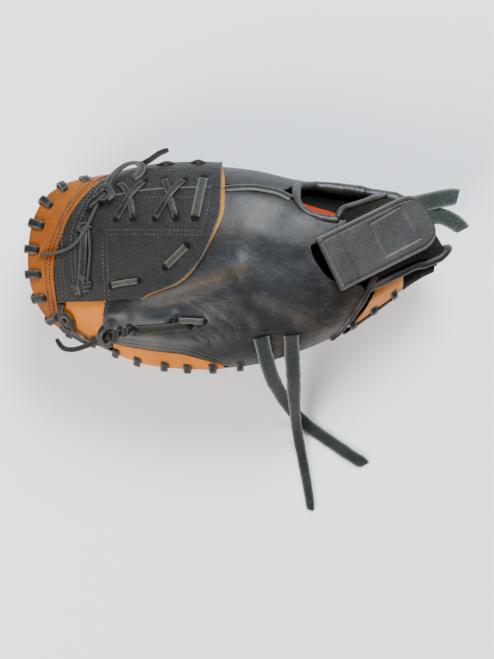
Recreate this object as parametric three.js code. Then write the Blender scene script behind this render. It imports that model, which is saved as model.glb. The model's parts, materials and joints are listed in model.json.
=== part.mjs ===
// Catcher's mitt, folded shut and lying on its thumb side.
// Millimetres. +X runs from the fingertips to the wrist, +Y towards the fold and +Z up.
//
// The mitt is a channel whose section is a U on its side. v runs across the outer face:
// 0 on the fold, +1 on the rim of the finger half (on top), -1 on the rim of the thumb half.
// Every leather piece is a slab of that channel between two depths under the outer face.
import * as THREE from 'three';

// Driving sizes
const MID_HEIGHT = 62;
const ORIGIN_X = 7.4;
const ORIGIN_Y = 4;
const LEATHER = 2.5;
const GAP = 1;
const WEB_LIFT = 1.2;
const WEB_LEATHER = 2.2;
const BAND_PROUD = 3;
const BAND_DEPTH = 4.6;
const RIM_THICKNESS = 8;
const THUMB_INSET = 8;
const THUMB_SWELL = 1.05;
const SEAM_V = 0.225;
const RIM_V = 0.985;
const LACE_WIDTH = 6.5;
const LACE_THICKNESS = 1.8;
const LACE_PITCH = 20;
const LACE_CLEAR = 0.9;
const LACE_OFF = 1.5;
const LACE_RUN = 4;
const LACE_LEG = 10;
const LACE_INNER_LEG = 8;
const STRAP_WIDTH = 44;
const STRAP_LENGTH = 83;
const STRAP_THICKNESS = 2.4;
const WRIST_LEATHER = 4;
const ROLL_SIDES = 8;

// Sections along the mitt: y of the fold, y of the rim, half the height of the outer face,
// and the thickness from the back leather to the pocket face
const SECTIONS = [
  { x: -165, fold: 63, rim: -42, half: 27, thick: 8 },
  { x: -139, fold: 66.8, rim: -50.3, half: 33, thick: 10 },
  { x: -107.7, fold: 70.7, rim: -66, half: 41, thick: 16 },
  { x: -68.4, fold: 79.4, rim: -80.2, half: 51, thick: 27 },
  { x: -29, fold: 81.7, rim: -83.3, half: 58, thick: 36 },
  { x: 10.2, fold: 78.6, rim: -80.2, half: 62, thick: 40 },
  { x: 49.5, fold: 69.2, rim: -69, half: 61, thick: 40 },
  { x: 81, fold: 65.2, rim: -55, half: 55, thick: 37 },
  { x: 112.4, fold: 59.7, rim: -33.8, half: 47, thick: 32 },
  { x: 136, fold: 54.2, rim: -16.5, half: 40, thick: 25 },
  { x: 151.7, fold: 40, rim: -6.3, half: 33, thick: 18 },
  { x: 167, fold: 13, rim: -1, half: 25, thick: 12 },
];

// The outer face across the fold: share of the width left to the rim, and share of the half height
const PROFILE = [
  { v: 0, across: 1, rise: 0 },
  { v: 0.08, across: 0.985, rise: 0.28 },
  { v: 0.16, across: 0.945, rise: 0.53 },
  { v: 0.26, across: 0.865, rise: 0.76 },
  { v: 0.38, across: 0.74, rise: 0.915 },
  { v: 0.52, across: 0.56, rise: 0.99 },
  { v: 0.66, across: 0.37, rise: 0.985 },
  { v: 0.8, across: 0.19, rise: 0.9 },
  { v: 0.9, across: 0.08, rise: 0.76 },
  { v: 1, across: 0, rise: 0.52 },
];

// Share of the padding across the fold, and share of the hand space under the back
const PADDING = [
  { v: 0, pad: 0.55, space: 0.3 },
  { v: 0.15, pad: 0.65, space: 0.5 },
  { v: 0.3, pad: 0.85, space: 0.9 },
  { v: 0.5, pad: 1, space: 1 },
  { v: 0.72, pad: 0.96, space: 1 },
  { v: 0.85, pad: 0.72, space: 0.6 },
  { v: 0.94, pad: 0.3, space: 0.12 },
  { v: 1, pad: 0, space: 0 },
];

// Height of the hand space along the mitt
const HAND_SPACE = [
  { x: -110, high: 0 },
  { x: -80, high: 4 },
  { x: -40, high: 10 },
  { x: 0, high: 15 },
  { x: 60, high: 18 },
  { x: 112, high: 19 },
  { x: 150, high: 9 },
  { x: 165, high: 6 },
];

// Edges of the pieces as x at a place v across one half: the tip's rim, the inner edge
// of the tan band, the web's edge, the ends of the backs, the wrist band and the palm
const EDGES = [
  { v: 0, tip: -104, band: -88, web: -12, back: 122, bandStart: 133, bandEnd: 165, heel: 148 },
  { v: 0.06, tip: -122, band: -97, web: -12, back: 116, bandStart: 128, bandEnd: 164.8, heel: 148.5 },
  { v: 0.12, tip: -139, band: -106, web: -12, back: 110, bandStart: 122, bandEnd: 164.5, heel: 149 },
  { v: 0.22, tip: -151, band: -119, web: -12, back: 97, bandStart: 108, bandEnd: 164, heel: 150 },
  { v: 0.35, tip: -159.6, band: -131, web: -12.5, back: 74, bandStart: 83, bandEnd: 163, heel: 152 },
  { v: 0.465, tip: -163.4, band: -138, web: -19.7, back: 75, bandStart: 85, bandEnd: 161.5, heel: 154 },
  { v: 0.55, tip: -164.6, band: -142.5, web: -29, back: 82, bandStart: 89, bandEnd: 160, heel: 155.5 },
  { v: 0.62, tip: -165, band: -144.6, web: -45, back: 88, bandStart: 95, bandEnd: 158, heel: 156.5 },
  { v: 0.665, tip: -164.5, band: -144.8, web: -68, back: 93, bandStart: 100, bandEnd: 155.5, heel: 157.5 },
  { v: 0.725, tip: -163.3, band: -144, web: -84, back: 98, bandStart: 105, bandEnd: 151, heel: 158 },
  { v: 0.81, tip: -160, band: -142.6, web: -104, back: 100.6, bandStart: 110, bandEnd: 145, heel: 159 },
  { v: 0.94, tip: -149.6, band: -140.5, web: -104, back: 88.8, bandStart: 110, bandEnd: 145, heel: 160 },
  { v: 1, tip: -139, band: -130, web: -104, back: 74, bandStart: 110, bandEnd: 145, heel: 160 },
];

// Soft swellings and hollows of the finger half's outer face
const DENTS = [
  { x: -55, v: 0.83, reachX: 45, reachV: 0.09, lift: 2.6 },
  { x: -5, v: 0.62, reachX: 60, reachV: 0.06, lift: 1.8 },
  { x: -30, v: 0.73, reachX: 55, reachV: 0.05, lift: -1.6 },
  { x: 30, v: 0.86, reachX: 40, reachV: 0.07, lift: -1.4 },
  { x: 48, v: 0.4, reachX: 22, reachV: 0.08, lift: 1.5 },
  { x: 15, v: 0.42, reachX: 20, reachV: 0.1, lift: -1.6 },
];

const COLORS = {
  black: { color: 0x1c1d20, roughness: 0.45 },
  dull: { color: 0x35332f, roughness: 0.7 },
  tan: { color: 0xb5662b, roughness: 0.5 },
  suede: { color: 0x55594f, roughness: 0.9 },
  lace: { color: 0x232325, roughness: 0.6 },
  orange: { color: 0xd9501c, roughness: 0.7 },
  tape: { color: 0x23211f, roughness: 1 },
};

const mitt = new THREE.Group();
mitt.name = 'catchers_mitt';

function addPiece(name, geometry, finish) {
  geometry.translate(-ORIGIN_X, -ORIGIN_Y, 0);
  geometry.computeVertexNormals();
  const { color, roughness } = COLORS[finish];
  const material = new THREE.MeshStandardMaterial({ color, roughness, metalness: 0 });
  const mesh = new THREE.Mesh(geometry, material);
  mesh.name = name;
  mitt.add(mesh);
}

// Smooth curve through the rows of a table, without overshoot, as a function of one column
function column(rows, at, value) {
  const places = rows.map((row) => row[at]);
  const values = rows.map((row) => row[value]);
  const last = rows.length - 1;
  const steps = places.slice(1).map((place, k) => place - places[k]);
  const rates = steps.map((step, k) => (values[k + 1] - values[k]) / step);
  const slopes = values.map((_, k) => {
    if (k === 0) return rates[0];
    if (k === last) return rates[last - 1];
    if (rates[k - 1] * rates[k] <= 0) return 0;
    const before = 2 * steps[k] + steps[k - 1];
    const after = steps[k] + 2 * steps[k - 1];
    return (before + after) / (before / rates[k - 1] + after / rates[k]);
  });
  return (place) => {
    const inside = Math.min(Math.max(place, places[0]), places[last]);
    let k = 0;
    while (k < last - 1 && inside > places[k + 1]) k += 1;
    const t = (inside - places[k]) / steps[k];
    const s = 1 - t;
    return values[k] * (1 + 2 * t) * s * s + slopes[k] * steps[k] * t * s * s
      + values[k + 1] * (1 + 2 * s) * t * t - slopes[k + 1] * steps[k] * s * t * t;
  };
}

const foldY = column(SECTIONS, 'x', 'fold');
const rimY = column(SECTIONS, 'x', 'rim');
const halfHeight = column(SECTIONS, 'x', 'half');
const thickness = column(SECTIONS, 'x', 'thick');
const across = column(PROFILE, 'v', 'across');
const rise = column(PROFILE, 'v', 'rise');
const padding = column(PADDING, 'v', 'pad');
const space = column(PADDING, 'v', 'space');
const spaceHeight = column(HAND_SPACE, 'x', 'high');
const edge = {};
for (const name of ['tip', 'band', 'web', 'back', 'bandStart', 'bandEnd', 'heel']) {
  const curve = column(EDGES, 'v', name);
  edge[name] = (v) => curve(Math.abs(v));
}

function dent(x, v) {
  let lift = 0;
  for (const row of DENTS) {
    const far = ((x - row.x) / row.reachX) ** 2 + ((v - row.v) / row.reachV) ** 2;
    lift += row.lift * Math.exp(-far);
  }
  return lift;
}

// A point of the outer face. The thumb half is a little fuller, and flat where it rests
function outerFace(x, v) {
  const a = Math.min(Math.abs(v), 1);
  const reach = halfHeight(x) * rise(a);
  const inset = v < 0 ? THUMB_INSET * (1 - across(a)) : 0;
  const y = rimY(x) + inset + (foldY(x) - rimY(x) - inset) * across(a);
  const z = v < 0 ? Math.max(MID_HEIGHT - reach * THUMB_SWELL, 0) : MID_HEIGHT + reach + dent(x, v);
  return new THREE.Vector3(x, y, z);
}

function outward(x, v) {
  const step = 0.02;
  const before = outerFace(x, Math.max(v - step, -1));
  const after = outerFace(x, Math.min(v + step, 1));
  return new THREE.Vector3(0, after.z - before.z, before.y - after.y).normalize();
}

// A point at a depth under the outer face, never below the surface that the mitt lies on
function under(x, v, depth) {
  const point = outerFace(x, v).addScaledVector(outward(x, v), -depth);
  point.z = Math.max(point.z, 0);
  return point;
}

function pocketDepth(x, v) {
  const deep = Math.max(thickness(x), RIM_THICKNESS);
  return RIM_THICKNESS + (deep - RIM_THICKNESS) * padding(Math.abs(v));
}

function palmDepth(x, v) {
  return LEATHER + GAP + spaceHeight(x) * space(Math.abs(v));
}

// The place across the finger half that lies over a point seen from above
function placeAcross(x, y) {
  let low = 0;
  let high = 1;
  for (let k = 0; k < 40; k += 1) {
    const middle = (low + high) / 2;
    if (outerFace(x, middle).y > y) low = middle;
    else high = middle;
  }
  return (low + high) / 2;
}

function mix(a, b, t) {
  return a + (b - a) * t;
}

// Closed body from points and faces, with its faces turned outwards
function body(points, faces) {
  let volume = 0;
  for (const [a, b, c] of faces) {
    volume += points[a].dot(new THREE.Vector3().crossVectors(points[b], points[c]));
  }
  const turned = volume < 0 ? faces.map(([a, b, c]) => [a, c, b]) : faces;
  const geometry = new THREE.BufferGeometry();
  const flat = points.flatMap((point) => [point.x, point.y, point.z]);
  geometry.setAttribute('position', new THREE.Float32BufferAttribute(flat, 3));
  geometry.setIndex(turned.flat());
  return geometry;
}

// Slab of the channel. place(s, t) gives x and v, s along the mitt and t across it
function slab({ along, over, place, top, bottom }) {
  const points = [];
  for (const depth of [top, bottom]) {
    for (let j = 0; j <= over; j += 1) {
      for (let i = 0; i <= along; i += 1) {
        const [x, v] = place(i / along, j / over);
        points.push(under(x, v, typeof depth === 'function' ? depth(x, v) : depth));
      }
    }
  }
  const layer = (along + 1) * (over + 1);
  const at = (i, j, low) => low * layer + j * (along + 1) + i;
  const faces = [];
  const quad = (a, b, c, d) => faces.push([a, b, c], [a, c, d]);
  for (let j = 0; j < over; j += 1) {
    for (let i = 0; i < along; i += 1) {
      quad(at(i, j, 0), at(i + 1, j, 0), at(i + 1, j + 1, 0), at(i, j + 1, 0));
      quad(at(i, j, 1), at(i, j + 1, 1), at(i + 1, j + 1, 1), at(i + 1, j, 1));
    }
  }
  for (let i = 0; i < along; i += 1) {
    quad(at(i, 0, 0), at(i, 0, 1), at(i + 1, 0, 1), at(i + 1, 0, 0));
    quad(at(i, over, 0), at(i + 1, over, 0), at(i + 1, over, 1), at(i, over, 1));
  }
  for (let j = 0; j < over; j += 1) {
    quad(at(0, j, 0), at(0, j + 1, 0), at(0, j + 1, 1), at(0, j, 1));
    quad(at(along, j, 0), at(along, j, 1), at(along, j + 1, 1), at(along, j + 1, 0));
  }
  return body(points, faces);
}

// Slab between two edges, left(v) and right(v), and between low(x) and high(x) across.
// An end's v is read where that end lies along the mitt
const LEFT_AT = -70;
const RIGHT_AT = 80;

function panel({ along, over, left, right, low, high, top, bottom }) {
  const place = (s, t) => {
    const start = left(mix(low(LEFT_AT), high(LEFT_AT), t));
    const end = right(mix(low(RIGHT_AT), high(RIGHT_AT), t));
    const x = mix(start, end, s);
    return [x, mix(low(x), high(x), t)];
  };
  return slab({ along, over, place, top, bottom });
}

// Body swept along a route. section lists [side, up] corners, and each stop holds
// the point, its up direction and a scale for the sides
function sweep(stops, section) {
  const points = [];
  const count = stops.length;
  stops.forEach(({ point, up, scale = 1 }, k) => {
    const ahead = stops[Math.min(k + 1, count - 1)].point;
    const behind = stops[Math.max(k - 1, 0)].point;
    const tangent = new THREE.Vector3().subVectors(ahead, behind).normalize();
    const side = new THREE.Vector3().crossVectors(tangent, up).normalize();
    const lift = new THREE.Vector3().crossVectors(side, tangent).normalize();
    for (const [a, b] of section) {
      points.push(point.clone().addScaledVector(side, a * scale).addScaledVector(lift, b));
    }
  });
  const n = section.length;
  const faces = [];
  for (let k = 0; k + 1 < count; k += 1) {
    for (let i = 0; i < n; i += 1) {
      const a = k * n + i;
      const b = k * n + ((i + 1) % n);
      faces.push([a, b, b + n], [a, b + n, a + n]);
    }
  }
  const end = (count - 1) * n;
  for (let i = 1; i + 1 < n; i += 1) {
    faces.push([0, i + 1, i], [end, end + i, end + i + 1]);
  }
  return body(points, faces);
}

function flatSection(width, thick) {
  const w = width / 2;
  const t = thick / 2;
  return [[-w, -t], [w, -t], [w, t], [-w, t]];
}

function roundSection(radius, sides) {
  const corners = [];
  for (let i = 0; i < sides; i += 1) {
    const turn = (2 * Math.PI * (i + 0.5)) / sides;
    corners.push([radius * Math.cos(turn), radius * Math.sin(turn)]);
  }
  return corners;
}

// Stops evenly spread on a smooth line through places [x, v, depth] of the channel
function stopsOnFace(places, count) {
  const points = places.map(([x, v, depth]) => under(x, v, depth));
  const ups = places.map(([x, v]) => outward(x, v));
  const line = new THREE.CatmullRomCurve3(points, false, 'centripetal');
  const turn = new THREE.CatmullRomCurve3(ups, false, 'centripetal');
  const stops = [];
  for (let k = 0; k <= count; k += 1) {
    const t = k / count;
    stops.push({ point: line.getPoint(t), up: turn.getPoint(t).normalize() });
  }
  return stops;
}

// Soft main form: the palm, padded, in a U round the pocket, with a notch for the web.
// s runs from the fingertips to the heel and t from the thumb half's rim to the finger half's
const PALM_ALONG = 10;
const PALM_OVER = 26;

function palmPlace(s, t) {
  const v = mix(-RIM_V, RIM_V, t);
  const start = Math.abs(v) < 0.735 ? edge.web(v) + 3 : edge.band(v) + 2;
  return [mix(start, edge.heel(v), s), v];
}

function palmPad() {
  addPiece('palm', slab({
    along: PALM_ALONG,
    over: PALM_OVER,
    place: palmPlace,
    top: palmDepth,
    bottom: pocketDepth,
  }), 'tan');
  const [from, to] = [3 / PALM_ALONG, 7 / PALM_ALONG];
  const [low, high] = [15 / PALM_OVER, 20 / PALM_OVER];
  addPiece('hand_lining', slab({
    along: 4,
    over: 5,
    place: (s, t) => palmPlace(mix(from, to, s), mix(low, high, t)),
    top: (x, v) => palmDepth(x, v) - 2.2,
    bottom: (x, v) => palmDepth(x, v) - 0.8,
  }), 'orange');
}

// Lower end of the finger half's back, and its edge along the lens at the rim
const fingerEnd = column([
  { v: 0.228, x: 75 }, { v: 0.37, x: 73 }, { v: 0.49, x: 58 }, { v: 0.6, x: 68 },
  { v: 0.69, x: 79 }, { v: 0.72, x: 100 }, { v: 0.81, x: 100.6 }, { v: 0.94, x: 88.8 },
  { v: 1, x: 74 },
], 'v', 'x');
const lensEdge = column([
  { x: -107, v: 0.965 }, { x: -96, v: 0.915 }, { x: -68, v: 0.89 }, { x: -45, v: 0.893 },
  { x: -29, v: 0.917 }, { x: -12, v: 0.962 }, { x: -4, v: RIM_V },
], 'x', 'v');

function backs() {
  const tuck = 5;
  const left = (v) => {
    const a = Math.abs(v);
    return a < 0.725 ? edge.web(a) - tuck : mix(-90, -104, (a - 0.725) / 0.26);
  };
  const fingerLow = column([
    { x: -60, v: SEAM_V + 0.003 }, { x: 36, v: SEAM_V + 0.003 }, { x: 43, v: 0.28 },
    { x: 48, v: 0.34 }, { x: 55, v: 0.378 }, { x: 62, v: 0.397 }, { x: 75, v: 0.415 },
  ], 'x', 'v');
  addPiece('finger_back', panel({
    along: 12,
    over: 12,
    left,
    right: fingerEnd,
    low: fingerLow,
    high: lensEdge,
    top: 0,
    bottom: LEATHER,
  }), 'black');
  const thumbHigh = column([
    { x: 34, v: SEAM_V - 0.003 }, { x: 43, v: 0.16 }, { x: 50, v: 0.095 }, { x: 60, v: 0.052 },
    { x: 90, v: 0.045 }, { x: 120, v: 0.035 },
  ], 'x', 'v');
  addPiece('thumb_back', panel({
    along: 10,
    over: 16,
    left,
    right: edge.back,
    low: (x) => -lensEdge(x),
    high: thumbHigh,
    top: 0,
    bottom: LEATHER,
  }), 'black');
  for (const [name, side] of [['finger_edge_panel', 1], ['thumb_edge_panel', -1]]) {
    addPiece(name, panel({
      along: 10,
      over: 2,
      left: () => -98,
      right: () => -10,
      low: (x) => side * (lensEdge(x) + 0.012),
      high: () => side * (RIM_V + 0.008),
      top: 0,
      bottom: LEATHER,
    }), 'tan');
  }
}

function tips() {
  for (const [name, side] of [['finger_tip_cap', 1], ['thumb_tip_cap', -1]]) {
    const place = (s, t) => {
      const v = mix(0.755, RIM_V, t);
      return [mix(edge.band(v) + 2.5, -105.5, s), side * v];
    };
    addPiece(name, slab({ along: 4, over: 4, place, top: 0, bottom: LEATHER }), 'tan');
  }
  const reach = RIM_V;
  const round = (s, t) => {
    const v = mix(-reach, reach, t);
    return [mix(edge.tip(v), edge.band(v), s), v];
  };
  addPiece('tip_band', slab({ along: 2, over: 24, place: round, top: -BAND_PROUD, bottom: BAND_DEPTH }), 'tan');
}

function web() {
  const seam = 0.262;
  const reach = 0.725;
  const parts = [
    { name: 'web_finger_panel', from: seam, to: reach, over: 7 },
    { name: 'web_centre_panel', from: -seam + 0.006, to: seam - 0.006, over: 8 },
    { name: 'web_thumb_panel', from: -reach, to: -seam, over: 7 },
  ];
  for (const { name, from, to, over } of parts) {
    const place = (s, t) => {
      const v = mix(from, to, t);
      return [mix(edge.band(v) + 1, edge.web(v), s), v];
    };
    const top = -WEB_LIFT - WEB_LEATHER;
    addPiece(name, slab({ along: 8, over, place, top, bottom: -WEB_LIFT }), 'dull');
  }
  const inside = 0.69;
  const place = (s, t) => {
    const v = mix(-inside, inside, t);
    return [mix(edge.band(v) + 2, edge.web(v) - 8, s), v];
  };
  addPiece('web_inner_panel', slab({ along: 5, over: 12, place, top: -0.3, bottom: BAND_DEPTH }), 'tan');
}

// Frame of the rim at a place on its edge: where it is and which way leads off the edge
function rimFrame(x, v, ahead) {
  const point = outerFace(x, v);
  const tangent = new THREE.Vector3().subVectors(outerFace(...ahead), point).normalize();
  const up = outward(x, v);
  const off = new THREE.Vector3().crossVectors(up, tangent).normalize();
  return { point, up, off };
}

// Places round the whole rim, from the finger half's heel past the tip to the thumb half's heel
function rimPlaces() {
  const places = [];
  const heel = 125;
  const side = RIM_V + 0.01;
  for (let x = heel; x > edge.tip(1); x -= 2) places.push([x, side]);
  for (let v = side; v > -side; v -= 0.01) places.push([edge.tip(v), v]);
  for (let x = edge.tip(1); x < heel; x += 2) places.push([x, -side]);
  return places;
}

// Corners of the lace's C-shaped section where it goes round the rim, and the four of them
// that the run between two stitches shares
const RUN = [2, 3, 8, 9];
const UPPER_LEG = [[10, 11, 0], [10, 0, 1], [10, 1, 2], [10, 2, 9]];
const LOWER_LEG = [[7, 8, 3], [7, 3, 4], [7, 4, 5], [7, 5, 6]];

function laceCorners(x, v, ahead) {
  const frame = rimFrame(x, v, ahead);
  const slope = outerFace(x, v * 0.98).sub(frame.point).divideScalar(-0.02 * v);
  const move = frame.off.dot(slope) / slope.lengthSq();
  const inset = (far) => [x - frame.off.x * far, v - move * far];
  const onBand = (a, b, within = 0) => a < edge.band(b) - within;
  const near = (onBand(x, v) || onBand(...inset(LACE_LEG)) ? -BAND_PROUD : 0) - LACE_CLEAR;
  const deepAt = (a, b) => (onBand(a, b, 3) ? BAND_DEPTH + LACE_CLEAR : pocketDepth(a, b) + 4);
  const deep = deepAt(x, v);
  const thick = LACE_THICKNESS;
  const away = (depth, out) => frame.point.clone()
    .addScaledVector(frame.up, -depth).addScaledVector(frame.off, out);
  const outerLeg = (depth) => under(...inset(LACE_LEG), depth);
  const innerLeg = under(...inset(LACE_INNER_LEG), deepAt(...inset(LACE_INNER_LEG)));
  const outside = LACE_OFF + thick;
  const middle = (near + deep) / 2;
  const half = LACE_RUN / 2;
  return [
    outerLeg(near - thick),
    away(near - thick, outside - 1),
    away(middle - half, outside),
    away(middle + half, outside),
    away(deep + thick, outside - 1),
    innerLeg.clone().addScaledVector(frame.up, -thick),
    innerLeg,
    away(deep, LACE_OFF - 0.4),
    away(middle + half, LACE_OFF),
    away(middle - half, LACE_OFF),
    away(near, LACE_OFF - 0.4),
    outerLeg(near),
  ];
}

function rimLace() {
  const places = rimPlaces();
  const points = [];
  const faces = [];
  const quad = (a, b, c, d) => faces.push([a, b, c], [a, c, d]);
  const bare = { from: 12, to: 103, fold: 0.06 };
  let travelled = LACE_PITCH;
  let before = null;
  const runTo = (corners) => {
    if (before) {
      for (let i = 0; i < RUN.length; i += 1) {
        const j = (i + 1) % RUN.length;
        quad(before[i], before[j], corners[j], corners[i]);
      }
    }
  };
  for (let k = 0; k + 1 < places.length; k += 1) {
    const [x, v] = places[k];
    const here = outerFace(x, v);
    const next = outerFace(...places[k + 1]);
    travelled += next.distanceTo(here);
    if (travelled < LACE_PITCH) continue;
    travelled -= LACE_PITCH;
    const corners = laceCorners(x, v, places[k + 1]);
    const first = points.length;
    if (Math.abs(v) < bare.fold || (v > 0 && x > bare.from && x < bare.to)) {
      points.push(...RUN.map((i) => corners[i]));
      const run = [0, 1, 2, 3].map((i) => first + i);
      runTo(run);
      before = run;
      continue;
    }
    const along = next.sub(here).normalize().multiplyScalar(LACE_WIDTH / 2);
    points.push(...corners.map((point) => point.clone().sub(along)));
    points.push(...corners.map((point) => point.clone().add(along)));
    const count = corners.length;
    for (let i = 0; i < count; i += 1) {
      const j = (i + 1) % count;
      quad(first + i, first + j, first + count + j, first + count + i);
    }
    for (const [a, b, c] of [...UPPER_LEG, ...LOWER_LEG]) {
      faces.push([first + a, first + c, first + b]);
      faces.push([first + count + a, first + count + b, first + count + c]);
    }
    const entry = RUN.map((i) => first + i);
    if (before) runTo(entry);
    else quad(...[...entry].reverse());
    before = RUN.map((i) => first + count + i);
  }
  quad(...before);
  addPiece('rim_lace', body(points, faces), 'lace');
}

// Laces that lie on the finger half, as routes [x, y] seen from above. lift is the height
// of the lace's middle over the face at its ends, hump what it rises between them
const FACE_LACES = [
  { name: 'web_cross_lace_1', finish: 'lace', width: 5, lift: 5.6, hump: 0,
    route: [[-81, 36.2], [-83.2, 50], [-93.5, 62.9]] },
  { name: 'web_cross_lace_2', finish: 'lace', width: 5, lift: 5.6, hump: 3.4,
    route: [[-94.3, 36.2], [-83.5, 50], [-72.3, 64.5]] },
  { name: 'web_cross_lace_3', finish: 'lace', width: 5, lift: 5.6, hump: 0,
    route: [[-47.2, 36.2], [-52, 51], [-57.4, 66]] },
  { name: 'web_cross_lace_4', finish: 'lace', width: 5, lift: 5.6, hump: 3.4,
    route: [[-63.7, 36.2], [-52.5, 51], [-40.9, 65.2]] },
  { name: 'web_wide_lace', finish: 'suede', width: 7, lift: 5.2, hump: 0.6,
    route: [[-25.9, 66.8], [-29, 52], [-32.2, 36.9]] },
  { name: 'web_short_lace_1', finish: 'suede', width: 5.5, lift: 5.2, hump: 0.4,
    route: [[-55, -0.8], [-46.8, 7], [-38.5, 14.9]] },
  { name: 'web_short_lace_2', finish: 'suede', width: 4.5, lift: 5.2, hump: 0.4,
    route: [[-98.3, -14.9], [-87.3, -13], [-76.2, -11.8]] },
  { name: 'web_thin_lace', finish: 'lace', width: 2.6, lift: 5.6, hump: 0,
    route: [[-109.3, 47.9], [-117.1, 29.9], [-126, 19], [-138, 12], [-150, 9.6]] },
  { name: 'web_tie_lace', finish: 'lace', width: 6, lift: 5.6, hump: 0,
    route: [[-113, 26], [-112.5, 8], [-114, -12]] },
  { name: 'hinge_lace', finish: 'suede', width: 5, lift: 1.8, hump: 0,
    route: [[-88, -53], [-76.2, -50.3], [-56.6, -48], [-36.9, -46.4]] },
  { name: 'hinge_lace_end', finish: 'suede', width: 4.5, lift: 1.8, hump: 0.5,
    route: [[-51.1, -41], [-38, -40.2], [-25.2, -41]] },
];

function faceLaces() {
  for (const { name, finish, width, lift, hump, route } of FACE_LACES) {
    const count = route.length - 1;
    const places = route.map(([x, y], k) => [
      x, placeAcross(x, y), -lift - hump * Math.sin((Math.PI * k) / count),
    ]);
    addPiece(name, sweep(stopsOnFace(places, 4 * count), flatSection(width, LACE_THICKNESS)), finish);
  }
}

// Stops of a roll that lies beside an edge given as places [x, v], its middle off by a distance
function besideEdge(places, off, depth, count) {
  const points = [];
  const ups = [];
  for (let k = 0; k + 1 < places.length; k += 1) {
    const frame = rimFrame(...places[k], places[k + 1]);
    points.push(frame.point.addScaledVector(frame.up, -depth).addScaledVector(frame.off, off));
    ups.push(frame.up);
  }
  const line = new THREE.CatmullRomCurve3(points, false, 'centripetal');
  const turn = new THREE.CatmullRomCurve3(ups, false, 'centripetal');
  const stops = [];
  for (let k = 0; k <= count; k += 1) {
    stops.push({ point: line.getPoint(k / count), up: turn.getPoint(k / count).normalize() });
  }
  return stops;
}

function wrist() {
  const reach = 0.74;
  const place = (s, t) => {
    const v = mix(-reach, reach, t);
    return [mix(edge.bandStart(v), edge.bandEnd(v), s), v];
  };
  addPiece('wrist_band', slab({ along: 5, over: 16, place, top: 0.6, bottom: 0.6 + WRIST_LEATHER }), 'dull');

  const hole = [
    [104, 0.072], [90, 0.075], [75, 0.078], [62, 0.082], [53, 0.115], [46.5, 0.175],
    [46, 0.23], [49, 0.288], [55, 0.325], [63, 0.345], [72, 0.36],
  ];
  const holeRoll = 3.4;
  const holeStops = stopsOnFace(hole.map(([x, v]) => [x, v, holeRoll - 1]), 24);
  addPiece('hand_hole_roll', sweep(holeStops, roundSection(holeRoll, ROLL_SIDES)), 'black');

  const upper = [];
  for (let v = 0.3; v > -0.27; v -= 0.06) upper.push([edge.bandStart(v) - 6, v, 1.2]);
  addPiece('wrist_band_upper_roll', sweep(stopsOnFace(upper, 18), roundSection(2.3, ROLL_SIDES)), 'black');

  const lower = [];
  for (let x = 110; x < edge.bandEnd(reach); x += 8) lower.push([x, reach]);
  for (let v = reach - 0.04; v > -reach; v -= 0.07) lower.push([edge.bandEnd(v), v]);
  for (let x = edge.bandEnd(reach); x > 102; x -= 8) lower.push([x, -reach]);
  const lowerStops = besideEdge(lower, -4.6, 2.6, 30);
  addPiece('wrist_band_lower_roll', sweep(lowerStops, roundSection(3.2, ROLL_SIDES)), 'black');

  const end = [];
  for (let v = 0.99; v > 0.72; v -= 0.03) end.push([fingerEnd(v), v]);
  const piping = besideEdge(end, -3.2, 1, 12);
  addPiece('back_piping', sweep(piping, roundSection(2.1, ROLL_SIDES)), 'black');

  for (const [half, side] of [['finger', 1], ['thumb', -1]]) {
    const facing = (from, to, name, finish) => {
      const lay = (s, t) => {
        const v = mix(0.84, RIM_V, t);
        return [mix(from(v), to, s), side * v];
      };
      const cover = (x, v) => palmDepth(x, v) - 4.3;
      const seat = (x, v) => palmDepth(x, v) - 2.2;
      addPiece(name, slab({ along: 4, over: 5, place: lay, top: cover, bottom: seat }), finish);
    };
    facing((v) => fingerEnd(v) + 12, 132, `${half}_heel_facing`, 'tan');
    facing(() => 132.7, 144, `${half}_heel_lining`, 'black');
  }
}

// The strap lies across the wrist: u runs along it from its fold, w across it
const STRAP = { x: 75.9, y: 2.75, turn: THREE.MathUtils.degToRad(26) };

function strapPlan(u, w) {
  const c = Math.cos(STRAP.turn);
  const s = Math.sin(STRAP.turn);
  return [STRAP.x + u * c - w * s, STRAP.y + u * s + w * c];
}

function strapSeat(u) {
  let high = 0;
  for (let w = -STRAP_WIDTH / 2; w <= STRAP_WIDTH / 2; w += 4) {
    const [x, y] = strapPlan(u, w);
    high = Math.max(high, outerFace(x, placeAcross(x, y)).z);
  }
  return high;
}

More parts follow.
